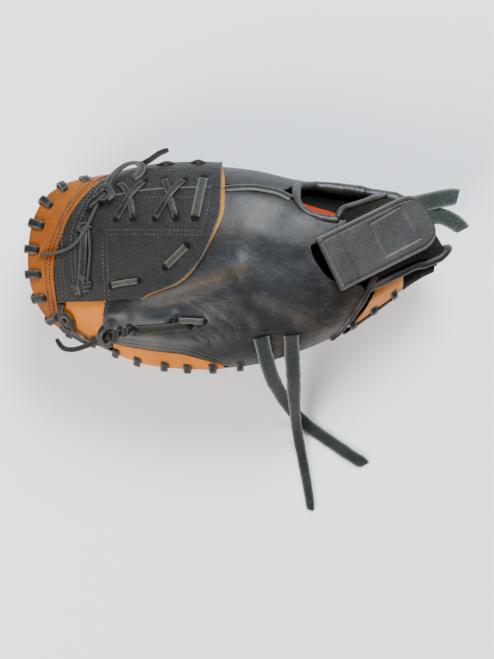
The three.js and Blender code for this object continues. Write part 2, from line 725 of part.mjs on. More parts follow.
function strap() {
  const droop = 0.2;
  const seatAt = 40;
  const lay = (u) => Math.max(strapSeat(u), strapSeat(seatAt) - droop * (u - seatAt)) + 1.4;
  const stop = (u, z, upX, upZ, scale = 1) => {
    const [x, y] = strapPlan(u, 0);
    const up = new THREE.Vector3(upX * Math.cos(STRAP.turn), upX * Math.sin(STRAP.turn), upZ);
    return { point: new THREE.Vector3(x, y, z), up, scale };
  };
  const rise = (u) => mix(7.4, 5.4, Math.min(u / 20, 1));
  const stops = [];
  for (const u of [52, 40, 28, 16, 6]) stops.push(stop(u, lay(u), 0, -1));
  const bend = rise(0) / 2;
  for (const angle of [-60, -20, 20, 60]) {
    const turn = THREE.MathUtils.degToRad(angle);
    const u = -bend * Math.cos(turn);
    stops.push(stop(u, lay(0) + bend + bend * Math.sin(turn), -Math.cos(turn), Math.sin(turn)));
  }
  for (const u of [6, 16, 28, 40, 52, 62]) stops.push(stop(u, lay(u) + rise(u), 0, 1));
  const corner = 17;
  const straight = STRAP_LENGTH - corner;
  for (const angle of [5, 30, 52, 70, 84]) {
    const turn = THREE.MathUtils.degToRad(angle);
    const u = straight + corner * Math.sin(turn);
    stops.push(stop(u, lay(u) + rise(u), 0, 1, Math.cos(turn) ** 0.6));
  }
  addPiece('wrist_strap', sweep(stops, flatSection(STRAP_WIDTH, STRAP_THICKNESS)), 'dull');
  const tape = [];
  for (const u of [10, 20, 30, 40, 50]) tape.push(stop(u, lay(u) + rise(u) / 2, 0, 1));
  addPiece('hook_tape', sweep(tape, flatSection(STRAP_WIDTH - 8, 1.8)), 'tape');
}

// Free lace ends, as points [x, y, z] that their middle follows
const TAILS = [
  { name: 'side_tail_1', finish: 'suede', width: 11, thick: 2.2, points: [
    [18.9, -55.8, 116.2], [20.8, -64, 111.5], [22.8, -72, 105.4], [25.2, -80.7, 98], [28, -89, 86],
    [31, -95.8, 73], [34.5, -102.4, 58], [38.3, -109.6, 42], [43, -116.7, 27], [49, -124.6, 13.5],
    [56, -132, 5], [64, -138.8, 1.6], [75, -146.4, 1.4], [86, -153.9, 1.4], [97, -161.4, 1.4],
    [109, -168.6, 1.4],
  ] },
  { name: 'side_tail_2', finish: 'suede', width: 10, thick: 2.2, points: [
    [42.4, -54.5, 114.5], [42.8, -62, 109.5], [43.3, -69.5, 103], [44, -78, 95], [44.8, -87.9, 87],
    [45.4, -97, 76], [46, -104.8, 64], [46.8, -112.7, 50.5], [47.8, -121.1, 37], [49, -130.6, 23],
    [50.5, -140.2, 12], [52.4, -150, 5], [54.4, -159.8, 1.9], [56.4, -170.4, 1.4], [58.3, -180.4, 1.4],
    [60, -190.4, 1.4], [61.4, -199.4, 1.4], [62.4, -207.8, 1.4],
  ] },
  { name: 'heel_tail_1', finish: 'suede', width: 9, thick: 2, points: [
    [133, 47.5, 95.9], [143, 49, 94.4], [154, 51.5, 92], [165, 53.8, 89.5], [175, 55.2, 89],
  ] },
  { name: 'heel_tail_2', finish: 'suede', width: 8, thick: 2, points: [
    [141, 37.5, 97.5], [151.7, 38.5, 92.3], [161, 39.5, 87.5], [172, 35.5, 82], [180.5, 29, 80.5],
  ] },
  { name: 'hinge_lace_tail', finish: 'lace', width: 4.2, thick: 1.8, points: [
    [-109, -57, 96.2], [-118, -62.2, 90.2], [-131.3, -66.4, 84.5], [-139.5, -64.8, 80.5], [-144.5, -58.2, 79.5],
  ] },
];

function levelStops(points, count) {
  const line = new THREE.CatmullRomCurve3(points.map((p) => new THREE.Vector3(...p)), false, 'centripetal');
  const stops = [];
  for (let k = 0; k <= count; k += 1) {
    const t = k / count;
    const tangent = line.getTangent(t);
    const side = new THREE.Vector3(tangent.y, -tangent.x, 0).normalize();
    stops.push({ point: line.getPoint(t), up: new THREE.Vector3().crossVectors(side, tangent) });
  }
  return stops;
}

function tails() {
  for (const { name, finish, width, thick, points } of TAILS) {
    const stops = levelStops(points, 2 * (points.length - 1));
    addPiece(name, sweep(stops, flatSection(width, thick)), finish);
  }
}

// Knots and loops of lace, round in section
const KNOTS = [
  { name: 'web_knot', finish: 'lace', radius: 2.6, places: [
    [-107, 0.27, -6.6], [-101, 0.235, -7.6], [-96, 0.265, -7], [-99, 0.3, -6.6],
  ] },
  { name: 'web_knot_loop', finish: 'lace', radius: 2, places: [
    [-101, 0.17, -6], [-94, 0.09, -7], [-86, 0.035, -7], [-80, 0.06, -6.8], [-80.5, 0.14, -6],
  ] },
  { name: 'web_fold_lace_1', finish: 'lace', radius: 1.6, places: [
    [-64, 0.03, -5.6], [-57, 0.035, -6], [-49, 0.045, -5.6],
  ] },
  { name: 'web_fold_lace_2', finish: 'lace', radius: 1.6, places: [
    [-36, 0.04, -5.6], [-31, 0.045, -6], [-25, 0.04, -5.6],
  ] },
];

function knots() {
  for (const { name, finish, radius, places } of KNOTS) {
    const stops = stopsOnFace(places, 4 * (places.length - 1));
    addPiece(name, sweep(stops, roundSection(radius, 6)), finish);
  }
  const tail = [[-76.5, 80.5, 80], [-69, 84.6, 82.3], [-61.5, 89.2, 86], [-54.2, 92, 88]];
  addPiece('web_knot_tail', sweep(levelStops(tail, 6), flatSection(4.6, LACE_THICKNESS)), 'lace');
  const turns = 3;
  const perTurn = 8;
  const [x0, y0] = [-106, -55.5];
  const pitch = 4.6;
  const radius = 3.4;
  const coil = [];
  for (let k = 0; k <= turns * perTurn; k += 1) {
    const turn = (2 * Math.PI * k) / perTurn;
    const x = x0 + (pitch * k) / perTurn;
    const v = placeAcross(x, y0 + 0.2 * (x - x0)) + (radius * Math.cos(turn)) / 190;
    const point = under(x, v, -5.6 - radius * Math.sin(turn) * 0.9);
    coil.push({ point, up: new THREE.Vector3(1, 0, 0.1) });
  }
  addPiece('hinge_lace_knot', sweep(coil, roundSection(1.9, 6)), 'lace');
  const welt = [[-9.4, 59.5], [10.2, 60.4], [24, 59], [34, 56]];
  const places = welt.map(([x, y]) => [x, Math.max(placeAcross(x, y), SEAM_V + 0.012), -1.8]);
  addPiece('seam_welt', sweep(stopsOnFace(places, 8), flatSection(3.6, 2)), 'suede');
}

palmPad();
backs();
tips();
web();
rimLace();
faceLaces();
wrist();
strap();
tails();
knots();

export default mitt;
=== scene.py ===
# Catcher's mitt, folded shut and lying on its thumb side: the visual model.
# Sizes are millimetres. x runs from the fingertips to the wrist, y towards the fold, z up.
# v runs across the mitt's outer face: 0 on the fold, +1 on the rim of the finger half,
# which is on top, and -1 on the rim of the thumb half. Depths are under the outer face.
import itertools
import json
import math

import bpy
import numpy as np
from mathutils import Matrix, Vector
from mathutils.kdtree import KDTree

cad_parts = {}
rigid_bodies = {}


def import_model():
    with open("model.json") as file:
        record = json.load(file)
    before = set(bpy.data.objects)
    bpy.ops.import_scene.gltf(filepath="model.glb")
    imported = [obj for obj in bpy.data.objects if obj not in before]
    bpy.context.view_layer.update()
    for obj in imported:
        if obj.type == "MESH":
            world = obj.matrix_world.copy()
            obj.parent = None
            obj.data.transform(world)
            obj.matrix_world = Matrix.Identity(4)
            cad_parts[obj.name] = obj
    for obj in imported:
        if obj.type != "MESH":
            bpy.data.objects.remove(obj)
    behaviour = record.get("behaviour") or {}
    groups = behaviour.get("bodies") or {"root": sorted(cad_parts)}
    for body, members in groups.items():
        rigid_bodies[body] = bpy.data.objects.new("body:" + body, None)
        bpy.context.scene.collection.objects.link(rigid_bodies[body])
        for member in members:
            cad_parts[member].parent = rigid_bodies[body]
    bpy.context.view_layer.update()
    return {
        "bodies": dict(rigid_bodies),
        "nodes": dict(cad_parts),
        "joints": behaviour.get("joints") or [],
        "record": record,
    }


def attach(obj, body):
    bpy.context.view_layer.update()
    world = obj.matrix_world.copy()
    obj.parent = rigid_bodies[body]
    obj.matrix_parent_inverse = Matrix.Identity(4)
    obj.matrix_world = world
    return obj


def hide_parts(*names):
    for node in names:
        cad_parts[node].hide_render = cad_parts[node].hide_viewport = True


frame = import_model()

MM = 0.001
ORIGIN = np.array([7.4, 4.0, 0.0])
SEED = 11

# Driving sizes, as in the part's source
MID_HEIGHT = 62
LEATHER = 2.5
GAP = 1
WEB_TOP = -3.4
WEB_BOTTOM = -1.2
BAND_TOP = -3
BAND_DEPTH = 4.6
RIM_THICKNESS = 8
THUMB_INSET = 8
THUMB_SWELL = 1.05
SEAM_V = 0.225
RIM_V = 0.985
LACE_WIDTH = 6.5
LACE_THICKNESS = 1.8
LACE_PITCH = 20
LACE_OFF = 1.5
LACE_RUN = 4
LACE_LEG = 10
LACE_INNER_LEG = 8
STRAP_WIDTH = 44
STRAP_LENGTH = 83
STRAP_THICKNESS = 2.4
WRIST_LEATHER = 4


def table(names, *rows):
    return {name: np.array(values, float) for name, values in zip(names.split(), zip(*rows))}


SECTIONS = table(
    "x fold rim half thick",
    (-165, 63, -42, 27, 8),
    (-139, 66.8, -50.3, 33, 10),
    (-107.7, 70.7, -66, 41, 16),
    (-68.4, 79.4, -80.2, 51, 27),
    (-29, 81.7, -83.3, 58, 36),
    (10.2, 78.6, -80.2, 62, 40),
    (49.5, 69.2, -69, 61, 40),
    (81, 65.2, -55, 55, 37),
    (112.4, 59.7, -33.8, 47, 32),
    (136, 54.2, -16.5, 40, 25),
    (151.7, 40, -6.3, 33, 18),
    (167, 13, -1, 25, 12),
)
PROFILE = table(
    "v across rise",
    (0, 1, 0),
    (0.08, 0.985, 0.28),
    (0.16, 0.945, 0.53),
    (0.26, 0.865, 0.76),
    (0.38, 0.74, 0.915),
    (0.52, 0.56, 0.99),
    (0.66, 0.37, 0.985),
    (0.8, 0.19, 0.9),
    (0.9, 0.08, 0.76),
    (1, 0, 0.52),
)
PADDING = table(
    "v pad space",
    (0, 0.55, 0.3),
    (0.15, 0.65, 0.5),
    (0.3, 0.85, 0.9),
    (0.5, 1, 1),
    (0.72, 0.96, 1),
    (0.85, 0.72, 0.6),
    (0.94, 0.3, 0.12),
    (1, 0, 0),
)
HAND_SPACE = table(
    "x high",
    (-110, 0), (-80, 4), (-40, 10), (0, 15), (60, 18), (112, 19), (150, 9), (165, 6),
)
EDGES = table(
    "v tip band web back band_start band_end heel",
    (0, -104, -88, -12, 122, 133, 165, 148),
    (0.06, -122, -97, -12, 116, 128, 164.8, 148.5),
    (0.12, -139, -106, -12, 110, 122, 164.5, 149),
    (0.22, -151, -119, -12, 97, 108, 164, 150),
    (0.35, -159.6, -131, -12.5, 74, 83, 163, 152),
    (0.465, -163.4, -138, -19.7, 75, 85, 161.5, 154),
    (0.55, -164.6, -142.5, -29, 82, 89, 160, 155.5),
    (0.62, -165, -144.6, -45, 88, 95, 158, 156.5),
    (0.665, -164.5, -144.8, -68, 93, 100, 155.5, 157.5),
    (0.725, -163.3, -144, -84, 98, 105, 151, 158),
    (0.81, -160, -142.6, -104, 100.6, 110, 145, 159),
    (0.94, -149.6, -140.5, -104, 88.8, 110, 145, 160),
    (1, -139, -130, -104, 74, 110, 145, 160),
)
FINGER_END = table(
    "v x",
    (0.228, 84), (0.35, 86), (0.39, 84), (0.43, 82), (0.462, 74), (0.485, 62), (0.509, 57),
    (0.6, 65), (0.65, 73), (0.69, 84), (0.735, 97.5), (0.8, 100.6), (0.94, 88.8), (1, 74),
)
LENS_EDGE = table(
    "x v",
    (-107, 0.965), (-96, 0.915), (-68, 0.89), (-45, 0.893),
    (-29, 0.917), (-12, 0.962), (-4, RIM_V),
)
FINGER_LOW = table(
    "x v",
    (-60, SEAM_V + 0.003), (36, SEAM_V + 0.003), (43, 0.262),
    (48, 0.3), (55, 0.333), (62, 0.351), (75, 0.365), (90, 0.37),
)
THUMB_HIGH = table(
    "x v",
    (34, SEAM_V - 0.003), (43, 0.16), (50, 0.095), (60, 0.052), (90, 0.045), (120, 0.035),
)

# Soft swellings and hollows of the finger half, round a place or along a line of the plan
DENTS = table(
    "x v reach_x reach_v lift",
    (-55, 0.83, 45, 0.09, 2.6),
    (-5, 0.62, 60, 0.06, 1.8),
    (-30, 0.73, 55, 0.05, -1.6),
    (30, 0.86, 40, 0.07, -1.4),
    (48, 0.4, 22, 0.08, 1.5),
    (15, 0.42, 20, 0.1, -1.6),
)
FOLDS = table(
    "x0 y0 x1 y1 width lift",
    (-88, -31, 2, 1, 8, 2.3),
    (-78, -41, 0, -13, 6, -1.5),
    (-99, -38, -52, -39, 7, 3),
    (-100, -49, -50, -50, 4, -1.2),
    (-46, -52, 6, -44, 8, -1.2),
    (12, -30, 48, -46, 7, -1),
    (26, -22, 60, -34, 8, 0.9),
    (52, -44, 84, -38, 8, 1.2),
    (60, 0, 82, -20, 7, 1.4),
    (50, 6, 66, -18, 6, -1),
    (8, 30, 48, 12, 10, 1.2),
    (-6, 44, 30, 40, 9, -1),
)


def column(rows, at, value, straight_on=False):
    """Smooth curve through two columns of a table, without overshoot."""
    places, values = rows[at], rows[value]
    steps = np.diff(places)
    rates = np.diff(values) / steps
    slopes = np.zeros_like(values)
    slopes[0], slopes[-1] = rates[0], rates[-1]
    for k in range(1, len(values) - 1):
        if rates[k - 1] * rates[k] > 0:
            before = 2 * steps[k] + steps[k - 1]
            after = steps[k] + 2 * steps[k - 1]
            slopes[k] = (before + after) / (before / rates[k - 1] + after / rates[k])

    def curve(place):
        place = np.asarray(place, float)
        inside = np.clip(place, places[0], places[-1])
        k = np.clip(np.searchsorted(places, inside) - 1, 0, len(steps) - 1)
        t = (inside - places[k]) / steps[k]
        s = 1 - t
        found = (values[k] * (1 + 2 * t) * s * s + slopes[k] * steps[k] * t * s * s
                 + values[k + 1] * (1 + 2 * s) * t * t - slopes[k + 1] * steps[k] * s * t * t)
        if straight_on:
            found = found + np.where(place < inside, slopes[0], slopes[-1]) * (place - inside)
        return found

    return curve


def softened(curve, step, sign=None):
    """The curve averaged over a few steps. sign -1 or 1 says how it goes on across zero."""
    def soft(place):
        total = 0
        for k, weight in ((-2, 1), (-1, 4), (0, 6), (1, 4), (2, 1)):
            at = place + k * step
            if sign is None:
                total = total + weight * curve(at)
            else:
                total = total + weight * curve(np.abs(at)) * np.where(at < 0, sign, 1)
        return total / 16
    return soft


fold_y, rim_y, half_height, thickness = (
    softened(column(SECTIONS, "x", name, True), 6) for name in ("fold", "rim", "half", "thick"))
across = softened(column(PROFILE, "v", "across", True), 0.018, 1)
rise = softened(column(PROFILE, "v", "rise", True), 0.018, -1)
padding = column(PADDING, "v", "pad")
space = column(PADDING, "v", "space")
space_height = column(HAND_SPACE, "x", "high")
finger_end = column(FINGER_END, "v", "x")
lens_edge = column(LENS_EDGE, "x", "v")
finger_low = column(FINGER_LOW, "x", "v")
thumb_high = column(THUMB_HIGH, "x", "v")


def edge(name):
    curve = column(EDGES, "v", name)
    return lambda v: curve(np.abs(v))


tip_edge, band_edge, web_edge, back_edge = (edge(name) for name in ("tip", "band", "web", "back"))
band_start, band_end, heel_edge = (edge(name) for name in ("band_start", "band_end", "heel"))


def mix(a, b, t):
    return a + (b - a) * t


def rows_of(rows):
    return zip(*rows.values())


def from_line(x, y, x0, y0, x1, y1):
    """Distance in the plan from a straight line between two points."""
    run = np.array([x1 - x0, y1 - y0])
    share = np.clip(((x - x0) * run[0] + (y - y0) * run[1]) / (run @ run), 0, 1)
    return np.hypot(x - x0 - run[0] * share, y - y0 - run[1] * share)


def swelling(x, v, y):
    """Lift of the finger half by its dents and folds."""
    lift = 0
    for x0, v0, reach_x, reach_v, high in rows_of(DENTS):
        lift = lift + high * np.exp(-((x - x0) / reach_x) ** 2 - ((v - v0) / reach_v) ** 2)
    for x0, y0, x1, y1, width, high in rows_of(FOLDS):
        lift = lift + high * np.exp(-(from_line(x, y, x0, y0, x1, y1) / width) ** 2)
    return lift


def outer_face(x, v):
    """Point on the mitt's outer face."""
    x, v = np.broadcast_arrays(np.asarray(x, float), np.clip(v, -1, 1))
    reach = half_height(x) * rise(v)
    inset = np.where(v < 0, THUMB_INSET * (1 - across(v)), 0)
    y = rim_y(x) + inset + (fold_y(x) - rim_y(x) - inset) * across(v)
    upper = MID_HEIGHT + reach + swelling(x, v, y) * np.clip(v * 8, 0, 1)
    lower = np.maximum(MID_HEIGHT + reach * THUMB_SWELL, 0)
    return np.stack([x, y, np.where(v < 0, lower, upper)], -1)


def unit(vectors):
    return vectors / np.maximum(np.linalg.norm(vectors, axis=-1, keepdims=True), 1e-9)


def outward(x, v):
    """The way straight out of the outer face, square to x."""
    step = 0.02
    run = outer_face(x, np.minimum(v + step, 1)) - outer_face(x, np.maximum(v - step, -1))
    return unit(np.stack([0 * run[..., 0], run[..., 2], -run[..., 1]], -1))


def under(x, v, depth):
    """Point at a depth under the outer face, or on the surface that the mitt lies on."""
    point = outer_face(x, v) - outward(x, v) * np.asarray(depth, float)[..., None]
    point[..., 2] = np.maximum(point[..., 2], 0)
    return point


def pocket_depth(x, v):
    """Depth of the padded palm's inner face."""
    deep = np.maximum(thickness(x), RIM_THICKNESS)
    return RIM_THICKNESS + (deep - RIM_THICKNESS) * padding(np.abs(v))


def palm_depth(x, v):
    """Depth of the palm's outer face, under the back and the room for the hand."""
    return LEATHER + GAP + space_height(x) * space(np.abs(v))


def place_across(x, y):
    """The v on the finger half that lies over a point of the plan."""
    x, y = np.broadcast_arrays(np.asarray(x, float), np.asarray(y, float))
    low, high = np.zeros_like(x), np.ones_like(x)
    for _ in range(30):
        middle = (low + high) / 2
        beyond = outer_face(x, middle)[..., 1] > y
        low, high = np.where(beyond, middle, low), np.where(beyond, high, middle)
    return (low + high) / 2


def smooth_line(points, count):
    """count + 1 points evenly spread on a smooth line through the given ones."""
    p = np.asarray(points, float)
    p = np.vstack([2 * p[0] - p[1], p, 2 * p[-1] - p[-2]])
    fine = []
    for k in range(1, len(p) - 2):
        gaps = np.sqrt(np.linalg.norm(np.diff(p[k - 1:k + 3], axis=0), axis=1)).clip(1e-4)
        leave = (p[k] - p[k - 1]) / gaps[0] - (p[k + 1] - p[k - 1]) / (gaps[0] + gaps[1])
        leave = (leave + (p[k + 1] - p[k]) / gaps[1]) * gaps[1]
        reach = (p[k + 1] - p[k]) / gaps[1] - (p[k + 2] - p[k]) / (gaps[1] + gaps[2])
        reach = (reach + (p[k + 2] - p[k + 1]) / gaps[2]) * gaps[1]
        t = np.linspace(0, 1, 24, endpoint=k == len(p) - 3)[:, None]
        fine.append((2 * t**3 - 3 * t**2 + 1) * p[k] + (t**3 - 2 * t**2 + t) * leave
                    + (3 * t**2 - 2 * t**3) * p[k + 1] + (t**3 - t**2) * reach)
    return even(np.vstack(fine), count)


def length_of(line):
    """Length run from a line's start to each of its points."""
    return np.concatenate([[0], np.cumsum(np.linalg.norm(np.diff(line, axis=0), axis=1))])


def even(line, count):
    """The line cut into count equal lengths."""
    run = length_of(line)
    at = np.linspace(0, run[-1], count + 1)
    return np.stack([np.interp(at, run, line[:, k]) for k in range(line.shape[1])], -1)


def noise(points, size, seed):
    """Smooth noise from -1 to 1 with soft lumps of the given size."""
    lattice = np.random.default_rng(SEED + seed).uniform(-1, 1, (32, 32, 32))
    at = points / size
    base = np.floor(at).astype(int)
    t = at - base
    t = t * t * (3 - 2 * t)
    total = 0
    for corner in itertools.product((0, 1), repeat=3):
        weight = np.prod(np.where(corner, t, 1 - t), axis=-1)
        index = (base + corner) % 32
        total = total + weight * lattice[index[:, 0], index[:, 1], index[:, 2]]
    return total


def crumple(points, size, seed):
    return sum(noise(points, size / 2**k, seed + k) / 2**k for k in range(3))


def creases(points, turn, run, gap, seed):
    """Narrow valleys, from 0 to 1, that run one way in the plan."""
    c, s = math.cos(math.radians(turn)), math.sin(math.radians(turn))
    laid = np.stack([
        (points[:, 0] * c + points[:, 1] * s) / run,
        (points[:, 1] * c - points[:, 0] * s) / gap,
        points[:, 2] / gap,
    ], -1)
    laid = laid + 0.35 * crumple(points, run * 0.6, seed)[:, None]
    return (1 - np.abs(noise(laid, 1, seed + 5))) ** 10


def nearest(points, marks):
    """Distance of each point from the nearest mark."""
    tree = KDTree(len(marks))
    for k, mark in enumerate(marks):
        tree.insert(mark, k)
    tree.balance()
    return np.array([tree.find(point)[2] for point in points])


# Materials
def add(tree, kind, inputs=None, **settings):
    node = tree.nodes.new(kind)
    for name, value in settings.items():
        setattr(node, name, value)
    for name, value in (inputs or {}).items():
        if isinstance(value, bpy.types.NodeSocket):
            tree.links.new(value, node.inputs[name])
        else:
            node.inputs[name].default_value = value
    return node


def maths(tree, operation, a, b=0.0, c=0.0):
    return add(tree, "ShaderNodeMath", {0: a, 1: b, 2: c}, operation=operation).outputs[0]


def remap(tree, value, low, high, to_low=0.0, to_high=1.0):
    inputs = {"Value": value, "From Min": low, "From Max": high, "To Min": to_low, "To Max": to_high}
    return add(tree, "ShaderNodeMapRange", inputs).outputs["Result"]


def blend(tree, factor, a, b, mode="MIX"):
    node = add(tree, "ShaderNodeMix", {0: factor, 6: a, 7: b}, data_type="RGBA", blend_type=mode)
    return node.outputs[2]


def stretched(tree, vector, scale):
    return add(tree, "ShaderNodeMapping", {"Vector": vector, "Scale": scale}).outputs[0]


def own_coordinates(tree):
    return add(tree, "ShaderNodeTexCoord").outputs["Object"]


def new_group(name, inputs, outputs):
    group = bpy.data.node_groups.new(name, "ShaderNodeTree")
    for socket, value in inputs.items():
        made = group.interface.new_socket(socket, in_out="INPUT", socket_type="NodeSocketFloat")
        made.default_value = value
    for socket in outputs:
        group.interface.new_socket(socket, in_out="OUTPUT", socket_type="NodeSocketFloat")
    return group, group.nodes.new("NodeGroupInput").outputs, group.nodes.new("NodeGroupOutput").inputs


# Leather's surface, the same on every leather
PEBBLE_SWAY = 0.0035
PEBBLE_GAP = 0.22
PORES_PER_PEBBLE = 2.4
CREASE_RUN = (1, 1.9, 1.4)
CREASE_WIDTH = 0.035


def skin_group():
    """Leather's surface: pebbles, fine pores and creases as a height, and the valleys as a mask."""
    group, given, out = new_group(
        "leather_skin", {"Grain": 700, "Pebble": 0.5, "Fine": 0.3, "Crease": 0.5}, ["Height", "Valleys"])
    coords = own_coordinates(group)
    sway = add(group, "ShaderNodeTexNoise", {"Vector": coords, "Scale": 160, "Detail": 2}).outputs["Color"]
    bent = add(group, "ShaderNodeVectorMath", {0: sway, 1: (PEBBLE_SWAY,) * 3, 2: coords},
               operation="MULTIPLY_ADD").outputs[0]
    cells = add(group, "ShaderNodeTexVoronoi", {"Vector": bent, "Scale": given["Grain"]},
                feature="DISTANCE_TO_EDGE").outputs["Distance"]
    pebble = remap(group, cells, 0.0, PEBBLE_GAP)
    finer = maths(group, "MULTIPLY", given["Grain"], PORES_PER_PEBBLE)
    pores = add(group, "ShaderNodeTexVoronoi", {"Vector": bent, "Scale": finer}).outputs["Distance"]
    lines = add(group, "ShaderNodeTexNoise",
                {"Vector": stretched(group, coords, CREASE_RUN), "Scale": 75, "Detail": 5,
                 "Distortion": 0.9}).outputs["Fac"]
    ridge = maths(group, "ABSOLUTE", maths(group, "SUBTRACT", lines, 0.5))
    crease = remap(group, ridge, 0.0, CREASE_WIDTH)
    height = maths(group, "MULTIPLY", pebble, given["Pebble"])
    height = maths(group, "MULTIPLY_ADD", pores, given["Fine"], height)
    height = maths(group, "MULTIPLY_ADD", crease, given["Crease"], height)
    group.links.new(height, out["Height"])
    open_crease = maths(group, "MULTIPLY", maths(group, "SUBTRACT", 1.0, crease), given["Crease"])
    open_pebble = maths(group, "MULTIPLY", maths(group, "SUBTRACT", 1.0, pebble), given["Pebble"])
    group.links.new(maths(group, "MAXIMUM", open_crease, open_pebble), out["Valleys"])
    return group


def patina_group():
    """Uneven colour of a used thing: broad patches and streaks of rubbing."""
    group, given, out = new_group("patina", {"Size": 22}, ["Patch", "Streak"])
    coords = own_coordinates(group)
    patch = add(group, "ShaderNodeTexNoise",
                {"Vector": coords, "Scale": given["Size"], "Detail": 5, "Roughness": 0.6}).outputs["Fac"]
    group.links.new(remap(group, patch, 0.36, 0.66), out["Patch"])
    streak = add(group, "ShaderNodeTexNoise",
                 {"Vector": stretched(group, coords, (1, 3.6, 2)), "Scale": 110, "Detail": 6}).outputs["Fac"]
    group.links.new(remap(group, streak, 0.5, 0.75), out["Streak"])
    return group


SKIN = skin_group()
PATINA = patina_group()


def new_material(name):
    material = bpy.data.materials.new(name)
    material.use_nodes = True
    tree = material.node_tree
    return material, tree, tree.nodes["Principled BSDF"]


def attribute(tree, name):
    return add(tree, "ShaderNodeAttribute", attribute_name=name).outputs["Fac"]


def raise_surface(tree, shader, height, relief):
    """Relief on the surface, with its depth in mm."""
    bump = add(tree, "ShaderNodeBump", {"Height": height, "Distance": relief * MM, "Strength": 1.0})
    tree.links.new(bump.outputs[0], shader.inputs["Normal"])


# How rubbing, streaks and the painted shade in the grain's valleys show on every leather, as shares
RUB_LEAST = 0.55
RUB_BROKEN = 0.45
STREAK_RUB = 0.3
STREAK_GLOSS = 0.6
MOST_GLOSS = 1.5
VALLEY_SHADE_TONE = 0.45
VALLEY_SHADE_SHARE = 0.75


def leather(name, deep, pale, wear_and_shade, rough=(0.38, 0.6), grain=750, pebble=0.4, fine=0.25, crease=0.5,
            relief=0.35, specular=0.5, size=22, streaks=0.35):
    """Leather between two colours, with a third where an attribute marks places of rubbing, and on the tip
    band a corner of painted shade.
    """
    material, tree, shader = new_material(name)
    skin = add(tree, "ShaderNodeGroup", node_tree=SKIN)
    for socket, value in (("Grain", grain), ("Pebble", pebble), ("Fine", fine), ("Crease", crease)):
        skin.inputs[socket].default_value = value
    patina = add(tree, "ShaderNodeGroup", node_tree=PATINA)
    patina.inputs["Size"].default_value = size
    rub_and_shade = maths(tree, "MULTIPLY_ADD", patina.outputs["Streak"], RUB_BROKEN, RUB_LEAST)
    rub_and_shade = maths(tree, "MULTIPLY", rub_and_shade, attribute(tree, "wear_and_shade"))
    rub_and_shade = maths(tree, "MULTIPLY_ADD", patina.outputs["Streak"], streaks * STREAK_RUB, rub_and_shade)
    color = blend(tree, patina.outputs["Patch"], (*deep, 1), (*pale, 1))
    color = blend(tree, rub_and_shade, color, (*wear_and_shade, 1))
    # Painted shade: the grain's valleys and creases are darkened towards a deeper tone of the leather
    valley_shade = maths(tree, "MULTIPLY", skin.outputs["Valleys"], VALLEY_SHADE_SHARE)
    color = blend(tree, valley_shade, color, (*(VALLEY_SHADE_TONE * value for value in deep), 1))
    tree.links.new(color, shader.inputs["Base Color"])
    gloss = maths(tree, "MULTIPLY_ADD", patina.outputs["Streak"], STREAK_GLOSS, patina.outputs["Patch"])
    tree.links.new(remap(tree, gloss, 0.0, MOST_GLOSS, *rough), shader.inputs["Roughness"])
    raise_surface(tree, shader, skin.outputs["Height"], relief)
    shader.inputs["Specular IOR Level"].default_value = specular
    return material


# How the fibres of suede show
NAP_RANGE = (0.32, 0.72)
NAP_TONES = (0.15, 1.25)
NAP_PATCHES = 0.35
NAP_PATCH_SIZE = 45
NAP_ROUGHNESS = (0.82, 0.98)


def suede(name, deep, pale, edge_color, relief=0.45, sheen=0.05, fibre=520):
    """Rough side of leather: short fibres, paler along cut edges, which the "edge" attribute marks."""
    material, tree, shader = new_material(name)
    coords = own_coordinates(tree)
    nap = add(tree, "ShaderNodeTexNoise",
              {"Vector": coords, "Scale": fibre, "Detail": 6, "Roughness": 0.7,
               "Distortion": 0.6}).outputs["Fac"]
    patina = add(tree, "ShaderNodeGroup", node_tree=PATINA)
    patina.inputs["Size"].default_value = NAP_PATCH_SIZE
    fibres = remap(tree, nap, *NAP_RANGE)
    tone = maths(tree, "MULTIPLY_ADD", patina.outputs["Patch"], NAP_PATCHES, fibres)
    color = blend(tree, remap(tree, tone, *NAP_TONES), (*deep, 1), (*pale, 1))
    cut = maths(tree, "MULTIPLY", attribute(tree, "edge"), maths(tree, "MULTIPLY_ADD", nap, 0.9, 0.25))
    color = blend(tree, cut, color, (*edge_color, 1))
    tree.links.new(color, shader.inputs["Base Color"])
    tree.links.new(remap(tree, nap, 0.3, 0.7, *NAP_ROUGHNESS), shader.inputs["Roughness"])
    raise_surface(tree, shader, nap, relief)
    shader.inputs["Sheen Weight"].default_value = sheen
    shader.inputs["Sheen Roughness"].default_value = 0.6
    shader.inputs["Specular IOR Level"].default_value = 0.2
    return material


def thread(name, deep, pale):
    """Twisted thread between two colours, with grime on it."""
    material, tree, shader = new_material(name)
    coords = own_coordinates(tree)
    twist = add(tree, "ShaderNodeTexWave", {"Vector": coords, "Scale": 700, "Distortion": 2}).outputs["Fac"]
    grime = add(tree, "ShaderNodeTexNoise", {"Vector": coords, "Scale": 60, "Detail": 4}).outputs["Fac"]
    tone = maths(tree, "MULTIPLY_ADD", twist, 0.4, remap(tree, grime, 0.35, 0.65, 0.0, 0.7))
    tree.links.new(blend(tree, tone, (*deep, 1), (*pale, 1)), shader.inputs["Base Color"])
    raise_surface(tree, shader, twist, 0.1)
    shader.inputs["Roughness"].default_value = 0.75
    return material


